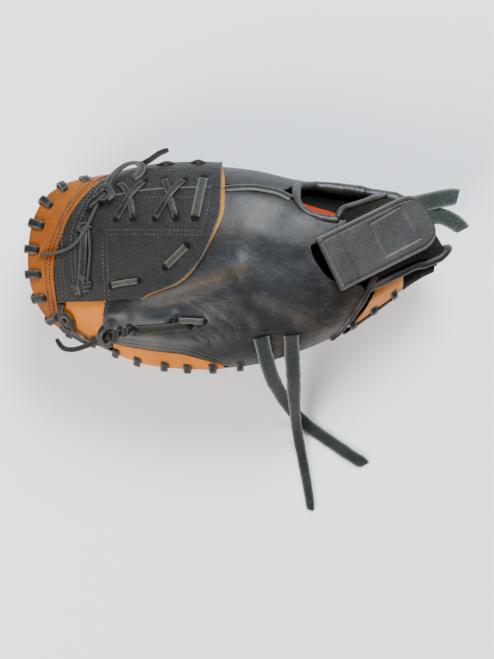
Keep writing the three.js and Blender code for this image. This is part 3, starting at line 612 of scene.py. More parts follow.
BLACK = leather("black_leather", (0.004, 0.0046, 0.0054), (0.0098, 0.011, 0.0126), (0.1, 0.068, 0.042),
                rough=(0.4, 0.56), grain=640, pebble=0.3, crease=0.12, relief=0.12, specular=0.35)
ROLL = leather("roll_leather", (0.005, 0.0045, 0.004), (0.015, 0.0125, 0.01), (0.075, 0.05, 0.032),
               rough=(0.3, 0.5), grain=620, pebble=0.3, crease=0.3, relief=0.2, specular=0.45)
# Warm grey leather for the thumb back, paler than the finger back's black: the paler tone is painted light
# on the side that faces the window
THUMB = leather("thumb_leather", (0.0085, 0.0088, 0.009), (0.018, 0.018, 0.018), (0.045, 0.037, 0.029),
                rough=(0.42, 0.6), grain=600, pebble=0.35, crease=0.2, relief=0.2, specular=0.32)
WEB = leather("web_leather", (0.0062, 0.0056, 0.005), (0.014, 0.0125, 0.011), (0.04, 0.034, 0.027),
              rough=(0.5, 0.68), grain=420, pebble=0.6, fine=0.25, crease=0.3, relief=0.26, specular=0.26)
TAN = leather("tan_leather", (0.4, 0.1, 0.004), (0.6, 0.178, 0.007), (0.16, 0.045, 0.007),
              rough=(0.4, 0.6), grain=560, pebble=0.35, crease=0.25, relief=0.2, specular=0.13, size=16,
              streaks=0.15)
BAND = leather("band_leather", (0.2, 0.05, 0.0042), (0.33, 0.09, 0.0068), (0.1, 0.03, 0.007),
               rough=(0.42, 0.64), grain=560, pebble=0.4, crease=0.35, relief=0.3, specular=0.13, size=18,
               streaks=0.25)
# Tan made paler and pinker for the heel's facing, which lies in shade: the paler tone is painted light
FACING = leather("facing_leather", (0.55, 0.2, 0.06), (0.78, 0.33, 0.11), (0.25, 0.09, 0.03),
                 rough=(0.5, 0.7), grain=560, pebble=0.35, crease=0.3, relief=0.2, specular=0.2, size=26,
                 streaks=0.2)
PALM = leather("palm_leather", (0.22, 0.065, 0.01), (0.34, 0.115, 0.019), (0.07, 0.03, 0.012),
               rough=(0.42, 0.66), grain=480, pebble=0.4, crease=0.6, relief=0.4, specular=0.3, size=14,
               streaks=0.5)
# Near black, darker than the black leather: the heel's real black lining, and painted shade of the room for
# the hand where the palm's hand side shows
INSIDE = leather("inside_leather", (0.0008, 0.0008, 0.0008), (0.003, 0.0027, 0.0023), (0.012, 0.009, 0.006),
                 rough=(0.5, 0.7), grain=500, pebble=0.3, crease=0.5, relief=0.3, specular=0.1)
LACE = leather("lace_leather", (0.0022, 0.0023, 0.0026), (0.006, 0.0062, 0.007), (0.13, 0.12, 0.098),
               rough=(0.36, 0.54), grain=900, pebble=0.25, crease=0.4, relief=0.2, streaks=0.08,
               specular=0.24)
STRAP = leather("strap_leather", (0.021, 0.0198, 0.018), (0.042, 0.0396, 0.0362), (0.12, 0.085, 0.052),
                rough=(0.42, 0.58), grain=640, pebble=0.35, crease=0.15, relief=0.18, size=12,
                specular=0.32)
LINING = leather("orange_lining", (0.34, 0.026, 0.0006), (0.52, 0.042, 0.001), (0.15, 0.012, 0.001),
                 rough=(0.5, 0.7), grain=420, pebble=0.3, crease=0.4, relief=0.3, size=30, streaks=0.2,
                 specular=0.06)
SUEDE = suede("suede_lace", (0.0042, 0.0058, 0.0046), (0.03, 0.036, 0.0295), (0.19, 0.21, 0.175),
              relief=0.6)
HEEL_SUEDE = suede("heel_suede", (0.01, 0.014, 0.011), (0.062, 0.078, 0.064), (0.2, 0.22, 0.185),
                   relief=0.6)
PALE_SUEDE = suede("pale_suede", (0.014, 0.0145, 0.0115), (0.06, 0.061, 0.048), (0.14, 0.14, 0.115),
                   relief=0.6)
WARM_SUEDE = suede("warm_suede", (0.0042, 0.0036, 0.003), (0.018, 0.0148, 0.011), (0.055, 0.048, 0.037))
RAW_EDGE = suede("raw_edge", (0.3, 0.09, 0.01), (0.7, 0.3, 0.045), (0.75, 0.38, 0.08),
                 sheen=0.0, fibre=900)
GREY_EDGE = suede("grey_edge", (0.012, 0.015, 0.012), (0.075, 0.085, 0.07), (0.15, 0.16, 0.135))
FELT = suede("fastener_loops", (0.0022, 0.0018, 0.0015), (0.014, 0.01, 0.0065), (0.04, 0.028, 0.018),
             relief=1.2, sheen=0.0, fibre=420)
GREY_THREAD = thread("grey_thread", (0.016, 0.015, 0.013), (0.085, 0.08, 0.07))
BROWN_THREAD = thread("brown_thread", (0.012, 0.004, 0.0016), (0.045, 0.014, 0.006))
DARK_THREAD = thread("dark_thread", (0.001, 0.001, 0.001), (0.0045, 0.004, 0.0035))
HOLLOW = suede("hole_shade", (0.001, 0.001, 0.001), (0.003, 0.0026, 0.0022), (0.004, 0.004, 0.004),
               sheen=0.0)


# Making pieces
PLAIN, RAW, OUTSIDE = 0, 1, 2
SHARP = math.radians(50)
RUB_WIDTH = 1.6
RUB_MOST = 0.45
WIDE_LACE = 9


def read_points(piece):
    flat = np.empty(len(piece.data.vertices) * 3)
    piece.data.vertices.foreach_get("co", flat)
    return flat.reshape(-1, 3)


def write_points(piece, points):
    framed = (points - ORIGIN) * MM
    piece.data.vertices.foreach_set("co", framed.ravel())
    piece.data.update()


def mark(piece, name, values):
    data = piece.data.attributes.new(name, "FLOAT", "POINT").data
    data.foreach_set("value", np.broadcast_to(values, len(data)).astype(np.float32))


def start_grid(name, along, over, walls):
    """A grid, extruded once for walls. Returns s along it and t over it, and which side is upper."""
    bpy.ops.object.select_all(action="DESELECT")
    bpy.ops.mesh.primitive_grid_add(x_subdivisions=along, y_subdivisions=over, size=2, enter_editmode=True)
    bpy.ops.mesh.select_all(action="SELECT")
    if walls:
        bpy.ops.mesh.extrude_region_move(TRANSFORM_OT_translate={"value": (0, 0, 1)})
    bpy.ops.object.mode_set(mode="OBJECT")
    piece = bpy.context.object
    piece.name = piece.data.name = name
    co = read_points(piece)
    return piece, (co[:, 0] + 1) / 2, (co[:, 1] + 1) / 2, co[:, 2] > 0.5


def face_sides(piece, upper, s):
    """Which faces are side walls and which are upper ones, and where they are along the grid."""
    corners = np.empty(len(piece.data.loops), np.int32)
    piece.data.loops.foreach_get("vertex_index", corners)
    corners = corners.reshape(-1, 4)
    high = upper[corners]
    return high.any(1) & ~high.all(1), high.all(1), s[corners].min(1)


def turn_outward(piece):
    mesh = piece.data
    mesh.calc_loop_triangles()
    corners = np.empty(len(mesh.loop_triangles) * 3, np.int32)
    mesh.loop_triangles.foreach_get("vertices", corners)
    a, b, c = np.moveaxis(read_points(piece)[corners].reshape(-1, 3, 3), 1, 0)
    if np.einsum("ij,ij->i", a, np.cross(b, c)).sum() < 0:
        mesh.flip_normals()


def only(piece):
    bpy.ops.object.select_all(action="DESELECT")
    piece.select_set(True)
    bpy.context.view_layer.objects.active = piece


def settle(piece, nodes=(), round_edge=0.0, smooth=50):
    """Rounds the edges and shades the piece, and joins it to the frame."""
    only(piece)
    if round_edge:
        bevel = piece.modifiers.new("round_edge", "BEVEL")
        bevel.width = round_edge * MM
        bevel.segments = 2
        bevel.limit_method = "ANGLE"
        bevel.angle_limit = SHARP
        bpy.ops.object.modifier_apply(modifier=bevel.name)
    bpy.ops.object.shade_smooth_by_angle(angle=math.radians(smooth))
    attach(piece, "root")
    if nodes:
        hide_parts(*nodes)
    return piece


def given(value, x, v):
    return value(x, v) if callable(value) else np.full_like(x, value)


def leather_slab(name, along, over, place, top, bottom, finish, nodes=(), raw=None, raw_from=-1.0,
                 outside=None, relief=None, wear_and_shade=None, round_edge=0.6, flare=None):
    """Leather that follows the mitt between two depths. place(s, t) gives x and v.

    raw is the finish of its cut edges, and outside that of its outer face, where they differ.
    """
    piece, s, t, upper = start_grid(name, along, over, walls=True)
    sides, tops, starts = face_sides(piece, upper, s)
    x, v = place(s, t)
    if flare:
        last_row = np.clip((s - 0.97) / 0.03, 0, 1)
        x = np.where(upper, x, x + flare(v) * last_row)
    depth = np.where(upper, given(top, x, v), given(bottom, x, v))
    points = under(x, v, depth)
    if relief:
        depth = depth - np.where(upper, relief(x, v, points), 0)
        points = under(x, v, depth)
    write_points(piece, points)
    turn_outward(piece)
    kinds = np.full(len(sides), PLAIN, np.int32)
    kinds[sides & (starts > raw_from)] = RAW
    if outside:
        kinds[tops] = OUTSIDE
    for each in (finish, raw or finish, outside or finish):
        piece.data.materials.append(each)
    piece.data.polygons.foreach_set("material_index", kinds)
    across_it = under(*place(s, np.ones_like(t)), 0 * s) - under(*place(s, 0 * t), 0 * s)
    wide = np.linalg.norm(across_it, axis=1)
    long = np.abs(place(np.ones_like(s), t)[0] - place(0 * s, t)[0])
    border = np.minimum(np.minimum(s, 1 - s) * long, np.minimum(t, 1 - t) * wide)
    rub_and_shade = RUB_MOST * np.exp(-border / RUB_WIDTH) * (0.5 + 0.5 * crumple(points, size=9, seed=3))
    if wear_and_shade:
        rub_and_shade = rub_and_shade + wear_and_shade(x, v, points)
    mark(piece, "wear_and_shade", np.clip(rub_and_shade, 0, 1))
    return settle(piece, nodes, round_edge)


def panel_place(left, right, low, high):
    """Between two edges along the mitt, left(v) and right(v), and two across it, low(x) and high(x)."""
    left_x, right_x = -70, 80

    def place(s, t):
        start = left(mix(low(left_x), high(left_x), t))
        end = right(mix(low(right_x), high(right_x), t))
        x = mix(start, end, s)
        return x, mix(low(x), high(x), t)
    return place


def band_place(left, right, low, high):
    """Between two edges along the mitt and two constant places across it."""
    def place(s, t):
        v = mix(low, high, t)
        return mix(left(v), right(v), s), v
    return place


def tangents(line):
    return unit(np.gradient(line, axis=0))


def ribbon_stops(line, side, width, thick, s, t, upper, narrow=None, crown=0.3):
    """Places a grid's vertices on a flat lace that follows a line. side is its width's way."""
    at = np.rint(s * (len(line) - 1)).astype(int)
    side = unit(side)
    lift = unit(np.cross(side, tangents(line)))
    wide = np.full(len(line), float(width)) if narrow is None else width * narrow
    bulge = np.where(upper, 0.5 + crown * (1 - (2 * t - 1) ** 2) / max(thick, 1), -0.5)
    return line[at] + side[at] * ((t - 0.5) * wide[at])[:, None] + lift[at] * (thick * bulge)[:, None]


def ribbon(name, line, side, width, thick, finish, slot, nodes=(), narrow=None, over=4, round_edge=0.4,
           slant=0.0):
    """A flat lace. narrow is its width's share along it, and slant is how far its end is cut aslant."""
    piece, s, t, upper = start_grid(name, len(line) - 1, over, walls=True)
    points = ribbon_stops(line, side, width, thick, s, t, upper, narrow)
    if slant:
        at = np.rint(s * (len(line) - 1)).astype(int)
        run = length_of(line)
        shift = slant * (t - 0.5) * np.exp(-(run[-1] - run[at]) / abs(slant))
        points = points + tangents(line)[at] * shift[:, None]
    write_points(piece, points)
    turn_outward(piece)
    piece.data.materials.append(finish)
    rim = np.abs(2 * t - 1) ** (3 if width < WIDE_LACE else 7)
    mark(piece, "edge", rim)
    mark(piece, "wear_and_shade", 0.8 * rim)
    return settle(piece, nodes, round_edge)


def many_ribbons(name, ribbons, over, finish, nodes=(), round_edge=0.4):
    """Several flat laces as one piece. Each is (line, side, width, thick), all with as many stops."""
    stops = len(ribbons[0][0])
    model, s, t, upper = start_grid(name + "_model", stops - 1, over, walls=True)
    corners = np.empty(len(model.data.loops), np.int32)
    model.data.loops.foreach_get("vertex_index", corners)
    quads = corners.reshape(-1, 4)
    bpy.data.objects.remove(model)
    points = [ribbon_stops(line, side, width, thick, s, t, upper) for line, side, width, thick in ribbons]
    faces = np.vstack([quads + k * len(s) for k in range(len(ribbons))]).tolist()
    piece = new_piece(name, np.vstack(points), faces, finish)
    rim = np.tile(np.abs(2 * t - 1) ** 3, len(ribbons))
    mark(piece, "edge", rim)
    mark(piece, "wear_and_shade", 0.8 * rim)
    only(piece)
    bpy.ops.object.mode_set(mode="EDIT")
    bpy.ops.mesh.select_all(action="SELECT")
    bpy.ops.mesh.normals_make_consistent(inside=False)
    bpy.ops.object.mode_set(mode="OBJECT")
    return settle(piece, nodes, round_edge)


def new_piece(name, points, faces, finish):
    mesh = bpy.data.meshes.new(name)
    mesh.from_pydata(np.zeros_like(points).tolist(), [], faces)
    piece = bpy.data.objects.new(name, mesh)
    bpy.context.collection.objects.link(piece)
    write_points(piece, points)
    mesh.materials.append(finish)
    return piece


def roll(name, line, up, radius, finish, nodes=(), swell=None):
    """Round roll of leather along a line, closed at both ends. swell is its radius' share along it."""
    around, lumps = 18, 0.12
    piece, s, t, _ = start_grid(name, len(line) - 1, around, walls=False)
    at = np.rint(s * (len(line) - 1)).astype(int)
    run = length_of(line)
    to_end = np.minimum(run, run[-1] - run) / radius
    size = radius * np.sqrt(np.clip(1 - (1 - np.minimum(to_end, 1)) ** 2, 0, 1))
    if swell is not None:
        size = size * swell
    ahead = tangents(line)
    side = unit(np.cross(ahead, up))
    lift = unit(np.cross(side, ahead))
    turn = 2 * math.pi * t
    points = line[at] + side[at] * (size[at] * np.cos(turn))[:, None]
    points = points + lift[at] * (size[at] * np.sin(turn))[:, None]
    rough = 1 + lumps * crumple(points, size=9, seed=21)
    points = line[at] + (points - line[at]) * rough[:, None]
    points[:, 2] = np.maximum(points[:, 2], 0.1)
    write_points(piece, points)
    mark(piece, "wear_and_shade", 0.5 * np.clip(crumple(points, size=16, seed=31) + 0.25, 0, 1))
    only(piece)
    bpy.ops.object.mode_set(mode="EDIT")
    bpy.ops.mesh.select_all(action="SELECT")
    bpy.ops.mesh.remove_doubles(threshold=0.02 * MM)
    bpy.ops.object.mode_set(mode="OBJECT")
    turn_outward(piece)
    piece.data.materials.append(finish)
    return settle(piece, nodes, smooth=80)


def on_face(route, depth, count):
    """A line over points of the plan, at a depth under the finger half's face, and its way up."""
    flat = smooth_line(route, count)
    v = place_across(flat[:, 0], flat[:, 1])
    return under(flat[:, 0], v, np.broadcast_to(depth, len(flat))), outward(flat[:, 0], v)


def on_channel(places, depth, count):
    """The same over places given as x and v."""
    flat = smooth_line(places, count)
    x, v = flat[:, 0], flat[:, 1]
    return under(x, v, np.broadcast_to(depth, len(flat))), outward(x, v)


def beads(name, places, finish, segments=6, rings=5):
    """Small rounded copies of one model: middle, way along, way up and three sizes of each."""
    bpy.ops.object.select_all(action="DESELECT")
    bpy.ops.mesh.primitive_uv_sphere_add(segments=segments, ring_count=rings, radius=0.5)
    model = bpy.context.object
    shape = read_points(model)[:, [2, 0, 1]]
    faces = [list(face.vertices) for face in model.data.polygons]
    bpy.data.objects.remove(model)
    points, all_faces = [], []
    for middle, along, up, sizes in places:
        side = unit(np.cross(up, along))
        turn = np.stack([unit(along), side, np.cross(unit(along), side)])
        all_faces += [[i + len(points) * len(shape) for i in face] for face in faces]
        points.append(middle + (shape * sizes) @ turn)
    return settle(new_piece(name, np.vstack(points), all_faces, finish), smooth=80)


def stitching(name, rows, finish, pitch=3.1, length=2.3, size=0.95):
    """Rows of thread. Each row is a line and its way up."""
    draw = np.random.default_rng(SEED)
    places = []
    for line, up in rows:
        run = length_of(line)
        count = max(int(run[-1] / pitch), 1)
        at = (np.arange(count) + 0.5) * run[-1] / count
        middle, over, ahead = (
            np.stack([np.interp(at, run, part[:, k]) for k in range(3)], -1)
            for part in (line, up, tangents(line)))
        ahead = ahead + draw.normal(0, 0.05, ahead.shape)
        places += [(middle[k], ahead[k], over[k], (length, size, 0.8 * size)) for k in range(count)]
    return beads(name, places, finish)


def row_on_face(route, depth):
    count = max(int(length_of(np.array(route, float))[-1]), 4)
    return on_face(route, depth, count)


def row_on_channel(places, depth):
    line = outer_face(*np.array(places, float).T)
    return on_channel(places, depth, max(int(length_of(line)[-1]), 4))


# Camera, light and floor
TARGET = Vector((0.5, -53.9, 100)) * MM
VIEW_DISTANCE = 1.2
VIEW_HEIGHT = 0.518
ELEVATION = math.radians(92)
SENSOR = 36
FLOOR_TONE = (0.92, 0.92, 0.92, 1)
ROOM_TONE = (0.92, 0.95, 1.0, 1)
ROOM_STRENGTH = 0.42


def make_camera():
    back = Vector((0, -math.cos(ELEVATION), math.sin(ELEVATION)))
    tilt = (math.pi / 2 - ELEVATION, 0, 0)
    bpy.ops.object.camera_add(location=TARGET + back * VIEW_DISTANCE, rotation=tilt)
    camera = bpy.context.object
    camera.name = "photo_camera"
    camera.data.sensor_width = SENSOR
    camera.data.lens = SENSOR * VIEW_DISTANCE / VIEW_HEIGHT
    bpy.context.scene.camera = camera


def soft_light(name, place, size, power, color):
    aim = (TARGET - Vector(place)).to_track_quat("-Z", "Y").to_euler()
    bpy.ops.object.light_add(type="AREA", location=place, rotation=aim)
    light = bpy.context.object
    light.name = name
    light.data.size = size
    light.data.energy = power
    light.data.color = color


def make_studio():
    bpy.ops.object.select_all(action="DESELECT")
    bpy.ops.mesh.primitive_plane_add(size=8)
    floor = bpy.context.object
    floor.name = "floor"
    material, _, shader = new_material("pale_floor")
    shader.inputs["Base Color"].default_value = FLOOR_TONE
    shader.inputs["Roughness"].default_value = 0.9
    floor.data.materials.append(material)
    soft_light("window", place=(0.35, 1.25, 1.5), size=0.9, power=82, color=(0.82, 0.91, 1.0))
    soft_light("fill", place=(-1.3, -1.5, 1.4), size=1.5, power=105, color=(1.0, 0.97, 0.93))
    world = bpy.data.worlds.new("pale_room")
    world.use_nodes = True
    glow = world.node_tree.nodes["Background"].inputs
    glow["Color"].default_value = ROOM_TONE
    glow["Strength"].default_value = ROOM_STRENGTH
    bpy.context.scene.world = world


# Loose lace ends, as the part's source routes them: width, thickness, length in metres,
# widths along it as shares, how far the end is cut aslant, and the route
TAILS = {
    "side_tail_1": (12.5, 2.2, 0.209, (1, 0.94, 0.86, 0.84, 0.9), -4, [
        (18.9, -55.8, 116.2), (20.8, -64, 111.5), (22.8, -72, 105.4), (25.2, -80.7, 98), (28, -89, 86),
        (31, -95.8, 73), (34.5, -102.4, 58), (38.3, -109.6, 42), (43, -116.7, 27), (49, -124.6, 13.5),
        (56, -132, 5), (64, -138.8, 1.6), (75, -146.4, 1.4), (86, -153.9, 1.4), (97, -161.4, 1.4),
        (109, -168.6, 1.4)]),
    "side_tail_2": (12, 2.2, 0.207, (1, 0.96, 0.76, 0.72, 0.66), -2, [
        (42.4, -54.5, 114.5), (42.8, -62, 109.5), (43.3, -69.5, 103), (44, -78, 95), (44.8, -87.9, 87),
        (45.4, -97, 76), (46, -104.8, 64), (46.8, -112.7, 50.5), (47.8, -121.1, 37), (49, -130.6, 23),
        (50.5, -140.2, 12), (52.4, -150, 5), (54.4, -159.8, 1.9), (56.4, -170.4, 1.4), (58.3, -180.4, 1.4),
        (60, -190.4, 1.4), (61.4, -199.4, 1.4), (62.4, -207.8, 1.4)]),
}
# Stiff short ends: width, thickness, finish and route
SHORT_TAILS = {
    "heel_tail_1": (14, 2, HEEL_SUEDE, [
        (133, 47.5, 95.9), (143, 49, 94.4), (154, 51.5, 92), (165, 53.8, 89.5), (175, 55.2, 89)]),
    "heel_tail_2": (13, 2, HEEL_SUEDE, [
        (141, 37.5, 97.5), (151.7, 38.5, 92.3), (161, 39.5, 87.5), (172, 35.5, 82), (180.5, 29, 80.5)]),
    "web_knot_tail": (4.6, 1.8, LACE, [
        (-76.5, 80.5, 80), (-69, 84.6, 82.3), (-61.5, 89.2, 86), (-54.2, 92, 88)]),
    "hinge_lace_tail": (4.2, 1.8, WARM_SUEDE, [
        (-102, -54, 101), (-109, -58, 97.5), (-118, -62.6, 92), (-131.3, -66.4, 86), (-139.5, -64.8, 81),
        (-144.5, -58.2, 79.5)]),
}


def level_side(line):
    """Sideways along a line and level, for a lace that lies flat."""
    ahead = tangents(line)
    return unit(np.stack([ahead[:, 1], -ahead[:, 0], 0 * ahead[:, 0]], -1))


def blunt_ends(line, taper, reach):
    """Share of the width along a line, which narrows by taper at its far end."""
    run = length_of(line)
    return 1 - taper * np.exp(-(run[-1] - run) / reach)


def make_tails():
    for name, (width, thick, length, widths, slant, route) in TAILS.items():
        line = smooth_line(route, 150)
        narrow = np.interp(np.linspace(0, 1, len(line)), np.linspace(0, 1, len(widths)), widths)
        narrow = narrow * blunt_ends(line, 0.35, 2.5) * (1 + 0.07 * crumple(line, size=6, seed=17))
        piece = ribbon(name, line, level_side(line), width, thick, SUEDE, "suede_lace", [name],
                       narrow=narrow, over=8, round_edge=0.5, slant=slant)
    for name, (width, thick, finish, route) in SHORT_TAILS.items():
        line = smooth_line(route, 40)
        slot = "suede_lace" if finish is HEEL_SUEDE else "lace"
        ribbon(name, line, level_side(line), width, thick, finish, slot, [name],
               narrow=blunt_ends(line, 0.3, 2), over=6, slant=-4 if width > WIDE_LACE else 0)


# Rows of stitches, as routes seen from above
WEB_ROWS = [
    [(-102.2, 27.5), (-76.2, 27.5), (-48.7, 27.1), (-25.2, 26.7)],
    [(-102.2, 24), (-76.2, 24), (-48.7, 23.6), (-25.9, 23.2)],
    [(-104.5, 22), (-104.5, 4.7), (-103.8, -11), (-103, -27.5)],
    [(-101, 20.4), (-101, 4.7), (-100.2, -11), (-99.4, -27.5)],
    [(-117.9, 69.2), (-132.8, 48.7), (-140.7, 23.6), (-139.1, -1.6), (-137.6, -24.4)],
    [(-114.8, 66.8), (-129.2, 47.9), (-137.2, 23.6), (-136.4, -1.6), (-134.4, -25.2)],
    [(-107.7, 66), (-121.8, 45.6), (-129.7, 23.6), (-129.7, 0.8), (-127.3, -25.2)],
    [(-104.5, 64.5), (-118.7, 44), (-126.2, 22.8), (-126.5, 0.8), (-124.2, -25.9)],
    [(-17.7, 70), (-20.4, 51.9), (-23.6, 36.2), (-27.5, 22.8)],
    [(-62.1, 72.7), (-40.9, 73.5), (-18.1, 72.7)],
    [(-64.5, 70.3), (-40.9, 70.7), (-18.9, 70)],
    [(-76.2, 52.3), (-52.7, 52), (-21.2, 51.1)],
]
BACK_ROWS = [
    [(-103, -29.9), (-104.9, -36.2), (-104.5, -42.4), (-102.2, -48.7)],
    [(-100.2, -29.9), (-102.2, -36.2), (-101.8, -42.4), (-99.4, -48.7)],
]
SLOT_ROW = [(55.5, 11.6), (61, 2.6), (67.6, -6.5), (76.4, -15.7)]
STITCH_SINK = 0.12


def lens_row(offset):
    x = np.linspace(-103, -5, 30)
    return np.stack([x, lens_edge(x) - offset], -1)


def band_row(offset, side):
    v = np.linspace(0.02, 0.93, 40) * side
    return np.stack([band_edge(v) - offset, v], -1)


def make_stitches():
    web_rows = [row_on_face(route, WEB_TOP + STITCH_SINK) for route in WEB_ROWS]
    stitching("web_stitching", web_rows, GREY_THREAD)
    back_rows = [row_on_face(route, STITCH_SINK) for route in BACK_ROWS]
    back_rows += [row_on_channel(lens_row(offset), STITCH_SINK) for offset in (0.014, 0.032)]
    stitching("back_stitching", back_rows, GREY_THREAD)
    stitching("slot_stitching", [row_on_face(SLOT_ROW, STITCH_SINK)], DARK_THREAD)
    band_rows = [row_on_channel(band_row(offset, side), BAND_TOP + STITCH_SINK)
                 for offset in (3.2, 6.2) for side in (1, -1)]
    stitching("band_stitching", band_rows, BROWN_THREAD, pitch=2.8, length=2)
    return {
        "web": np.vstack([line for line, _ in web_rows]),
        "back": np.vstack([line for line, _ in back_rows] + [row_on_face(SLOT_ROW, 0)[0]]),
        "band": np.vstack([line for line, _ in band_rows]),
    }


# Laces on the finger half: finish, width, height over the face, rise in the middle, and route
FACE_LACES = {
    "web_cross_lace_1": (LACE, 5, 4.5, 0.2, [(-81, 36.2), (-82.6, 46), (-86, 56), (-93.5, 62.9)]),
    "web_cross_lace_2": (LACE, 5, 4.5, 2.1, [(-94.3, 36.2), (-89.5, 43), (-83.5, 52), (-72.3, 64.5)]),
    "web_cross_lace_3": (LACE, 5, 4.5, 0.2, [(-47.2, 36.2), (-50.4, 46), (-54, 57), (-57.4, 66)]),
    "web_cross_lace_4": (LACE, 5, 4.5, 2.1, [(-63.7, 36.2), (-59, 43), (-52.5, 52), (-40.9, 65.2)]),
    "web_wide_lace": (PALE_SUEDE, 7, 4.4, 0.4, [(-25.9, 66.8), (-29, 52), (-32.2, 36.9)]),
    "web_short_lace_1": (PALE_SUEDE, 5.5, 4.4, 0.3, [(-55, -0.8), (-46.8, 7), (-38.5, 14.9)]),
    "web_short_lace_2": (PALE_SUEDE, 4.5, 4.4, 0.3, [(-98.3, -14.9), (-87.3, -13), (-76.2, -11.8)]),
    "web_tie_lace": (LACE, 5.6, 4.6, 1.2, [(-119.5, 29), (-120.4, 8), (-122, -10.5)]),
    "hinge_lace": (WARM_SUEDE, 7, 1.1, 0, [(-80, -50.5), (-68, -49.6), (-56.6, -48.3), (-36.9, -46)]),
    "hinge_lace_end": (PALE_SUEDE, 4.5, 1.2, 0.9, [(-46, -42.5), (-36, -42.4), (-25.2, -43.3)]),
}
# The holes that laces go into: x, y, depth of the leather there, and width
HOLES = [(-51.1, -42.4, -0.1, 3.2)]
# How deep the two ends of such a lace go, and the length of lace over which they go down
DIVE = 4.4
DIVE_REACH = 1.5


def make_face_laces():
    stops = 36
    for name, (finish, width, lift, hump, route) in FACE_LACES.items():
        line, _ = on_face(route, 0, stops)
        run = length_of(line)
        to_end = np.minimum(run, run[-1] - run)
        rise_there = lift + hump * np.sin(math.pi * run / run[-1]) ** 2
        line, up = on_face(route, DIVE * np.exp(-(to_end / DIVE_REACH) ** 2) - rise_there, stops)
        slot = "lace" if finish is LACE else "suede_lace"
        ribbon(name, line, np.cross(tangents(line), up), width, LACE_THICKNESS, finish, slot, [name],
               over=6)
        on_web = lift > -WEB_TOP
        for x, y in (route[0], route[-1]):
            HOLES.append((x, y, WEB_TOP if on_web else 0, width))
    edge_on = [
        (-108, 48), (-113, 38), (-117.1, 29.9), (-122, 22), (-128, 16), (-138, 11.5), (-149, 9.6),
        (-155, 9.4)]
    line, up = on_face(edge_on, np.linspace(-6.2, -5.6, 61), 60)
    ribbon("web_thin_lace", line, up, 3.6, 2.2, WARM_SUEDE, "lace", ["web_thin_lace"])


def round_middle(points, middle, count):
    """A line through points of a knot, and the width's way of a lace that faces out from its middle."""
    line = smooth_line(points, count)
    return line, np.cross(tangents(line), unit(line - np.array(middle)))


def arched(route, depth, drop, count):
    """A line over the finger half that sinks by drop towards both ends, and the lace's width's way."""
    line, up = on_face(route, depth + drop * np.linspace(-1, 1, count + 1) ** 2, count)
    return line, np.cross(tangents(line), up)


def make_web_knot():
    middle = (-86, 40, 60)
    loop = [(-103.5, 59, 99), (-100, 68.5, 92), (-94.5, 76, 84), (-86.5, 81.5, 79.5), (-79.5, 82, 80.5),
            (-76.4, 77.5, 86), (-80.5, 70, 92)]
    ribbon("web_knot_loop", *round_middle(loop, middle, 44), 5.4, 1.8, LACE, "lace", ["web_knot_loop"])
    turned = [(-78.2, 82.6, 81), (-75.2, 78.5, 86.5), (-77, 72.5, 91.5), (-81.5, 69, 92.5)]
    ribbon("web_knot_turn", *round_middle(turned, middle, 24), 6, 1.8, PALE_SUEDE, "lace")
    knot = [
        [(-110, 55, 102.5), (-106, 60.5, 101), (-100.5, 60, 102), (-98, 55.5, 104.5), (-101, 52, 106.5)],
        [(-98.5, 60.5, 99), (-103, 62.5, 99.5), (-107.5, 58.5, 103), (-106, 53.5, 105.5),
         (-101.5, 54.5, 106)],
        [(-104, 57, 105), (-109, 53, 105.5), (-113.5, 49.5, 105), (-115.5, 46.5, 104.5)],
    ]
    parts = [(*round_middle(points, (-104, 40, 70), 24), 5, 1.8) for points in knot]
    many_ribbons("web_knot", parts, 6, LACE, ["web_knot"])


def make_fold_laces():
    for name, low, high in (("web_fold_lace_1", -64, -49), ("web_fold_lace_2", -37, -25)):
        x = np.linspace(low, high, 25)
        arch = np.sin(np.linspace(0, math.pi, 25))
        v = 0.075 + 0.01 * arch
        line = under(x, v, -2.6 - 2.6 * arch)
        ribbon(name, line, np.cross(tangents(line), outward(x, v)), 4, 1.6, WARM_SUEDE, "lace", [name])


# Loops at the two ends of the web's tied lace: route, depth, drop at its ends, width and thickness
TIE_LOOPS = [
    ([(-129, -17.5), (-122, -15), (-114, -14)], -5.6, 1.6, 4.2, 1.6),
    ([(-128, -20.5), (-121.5, -18.5), (-114.5, -17)], -5.6, 1.6, 4.2, 1.6),
    ([(-120.4, -8), (-122.5, -14), (-121, -21.5)], -7, 2.4, 5, 1.7),
    ([(-123.5, 27), (-119.5, 31), (-115, 28)], -6.4, 1.2, 4.4, 1.7),
]


def make_tie_loops():
    loops = [(*arched(route, depth, drop, 24), width, thick)
             for route, depth, drop, width, thick in TIE_LOOPS]
    many_ribbons("web_tie_loops", loops, 6, LACE)
    line, up = on_face([(-116, 28), (-114.9, 9), (-117, -12)], -5.2, 30)
    ribbon("web_tie_edge", line, up, 3, 1.5, WARM_SUEDE, "lace")


def make_hinge_knot():
    start, end = np.array([-104.5, -55.5]), np.array([-80, -49])
    turns = 3.2
    share = np.linspace(0, 1, 101)
    radius = 2.9 - 0.5 * share
    axis = start + (end - start) * share[:, None]
    v = place_across(axis[:, 0], axis[:, 1])
    core, up = under(axis[:, 0], v, -3), outward(axis[:, 0], v)
    side = unit(np.cross(tangents(core), up))
    turn = 2 * math.pi * turns * share
    out = side * np.cos(turn)[:, None] + up * np.sin(turn)[:, None]
    coil = core + out * radius[:, None]
    ribbon("hinge_lace_knot", coil, np.cross(tangents(coil), out), 4.4, 1.5, WARM_SUEDE, "lace",
           ["hinge_lace_knot"])
    wrap = [(-98, -46.5, 107), (-103.5, -48, 109.5), (-107, -53, 108), (-107, -59, 103),
            (-103, -62.5, 99.5), (-98, -61.5, 100.5)]
    ribbon("hinge_lace_loop", *round_middle(wrap, (-100, -52, 92), 40), 4.8, 1.7, LACE, "lace")


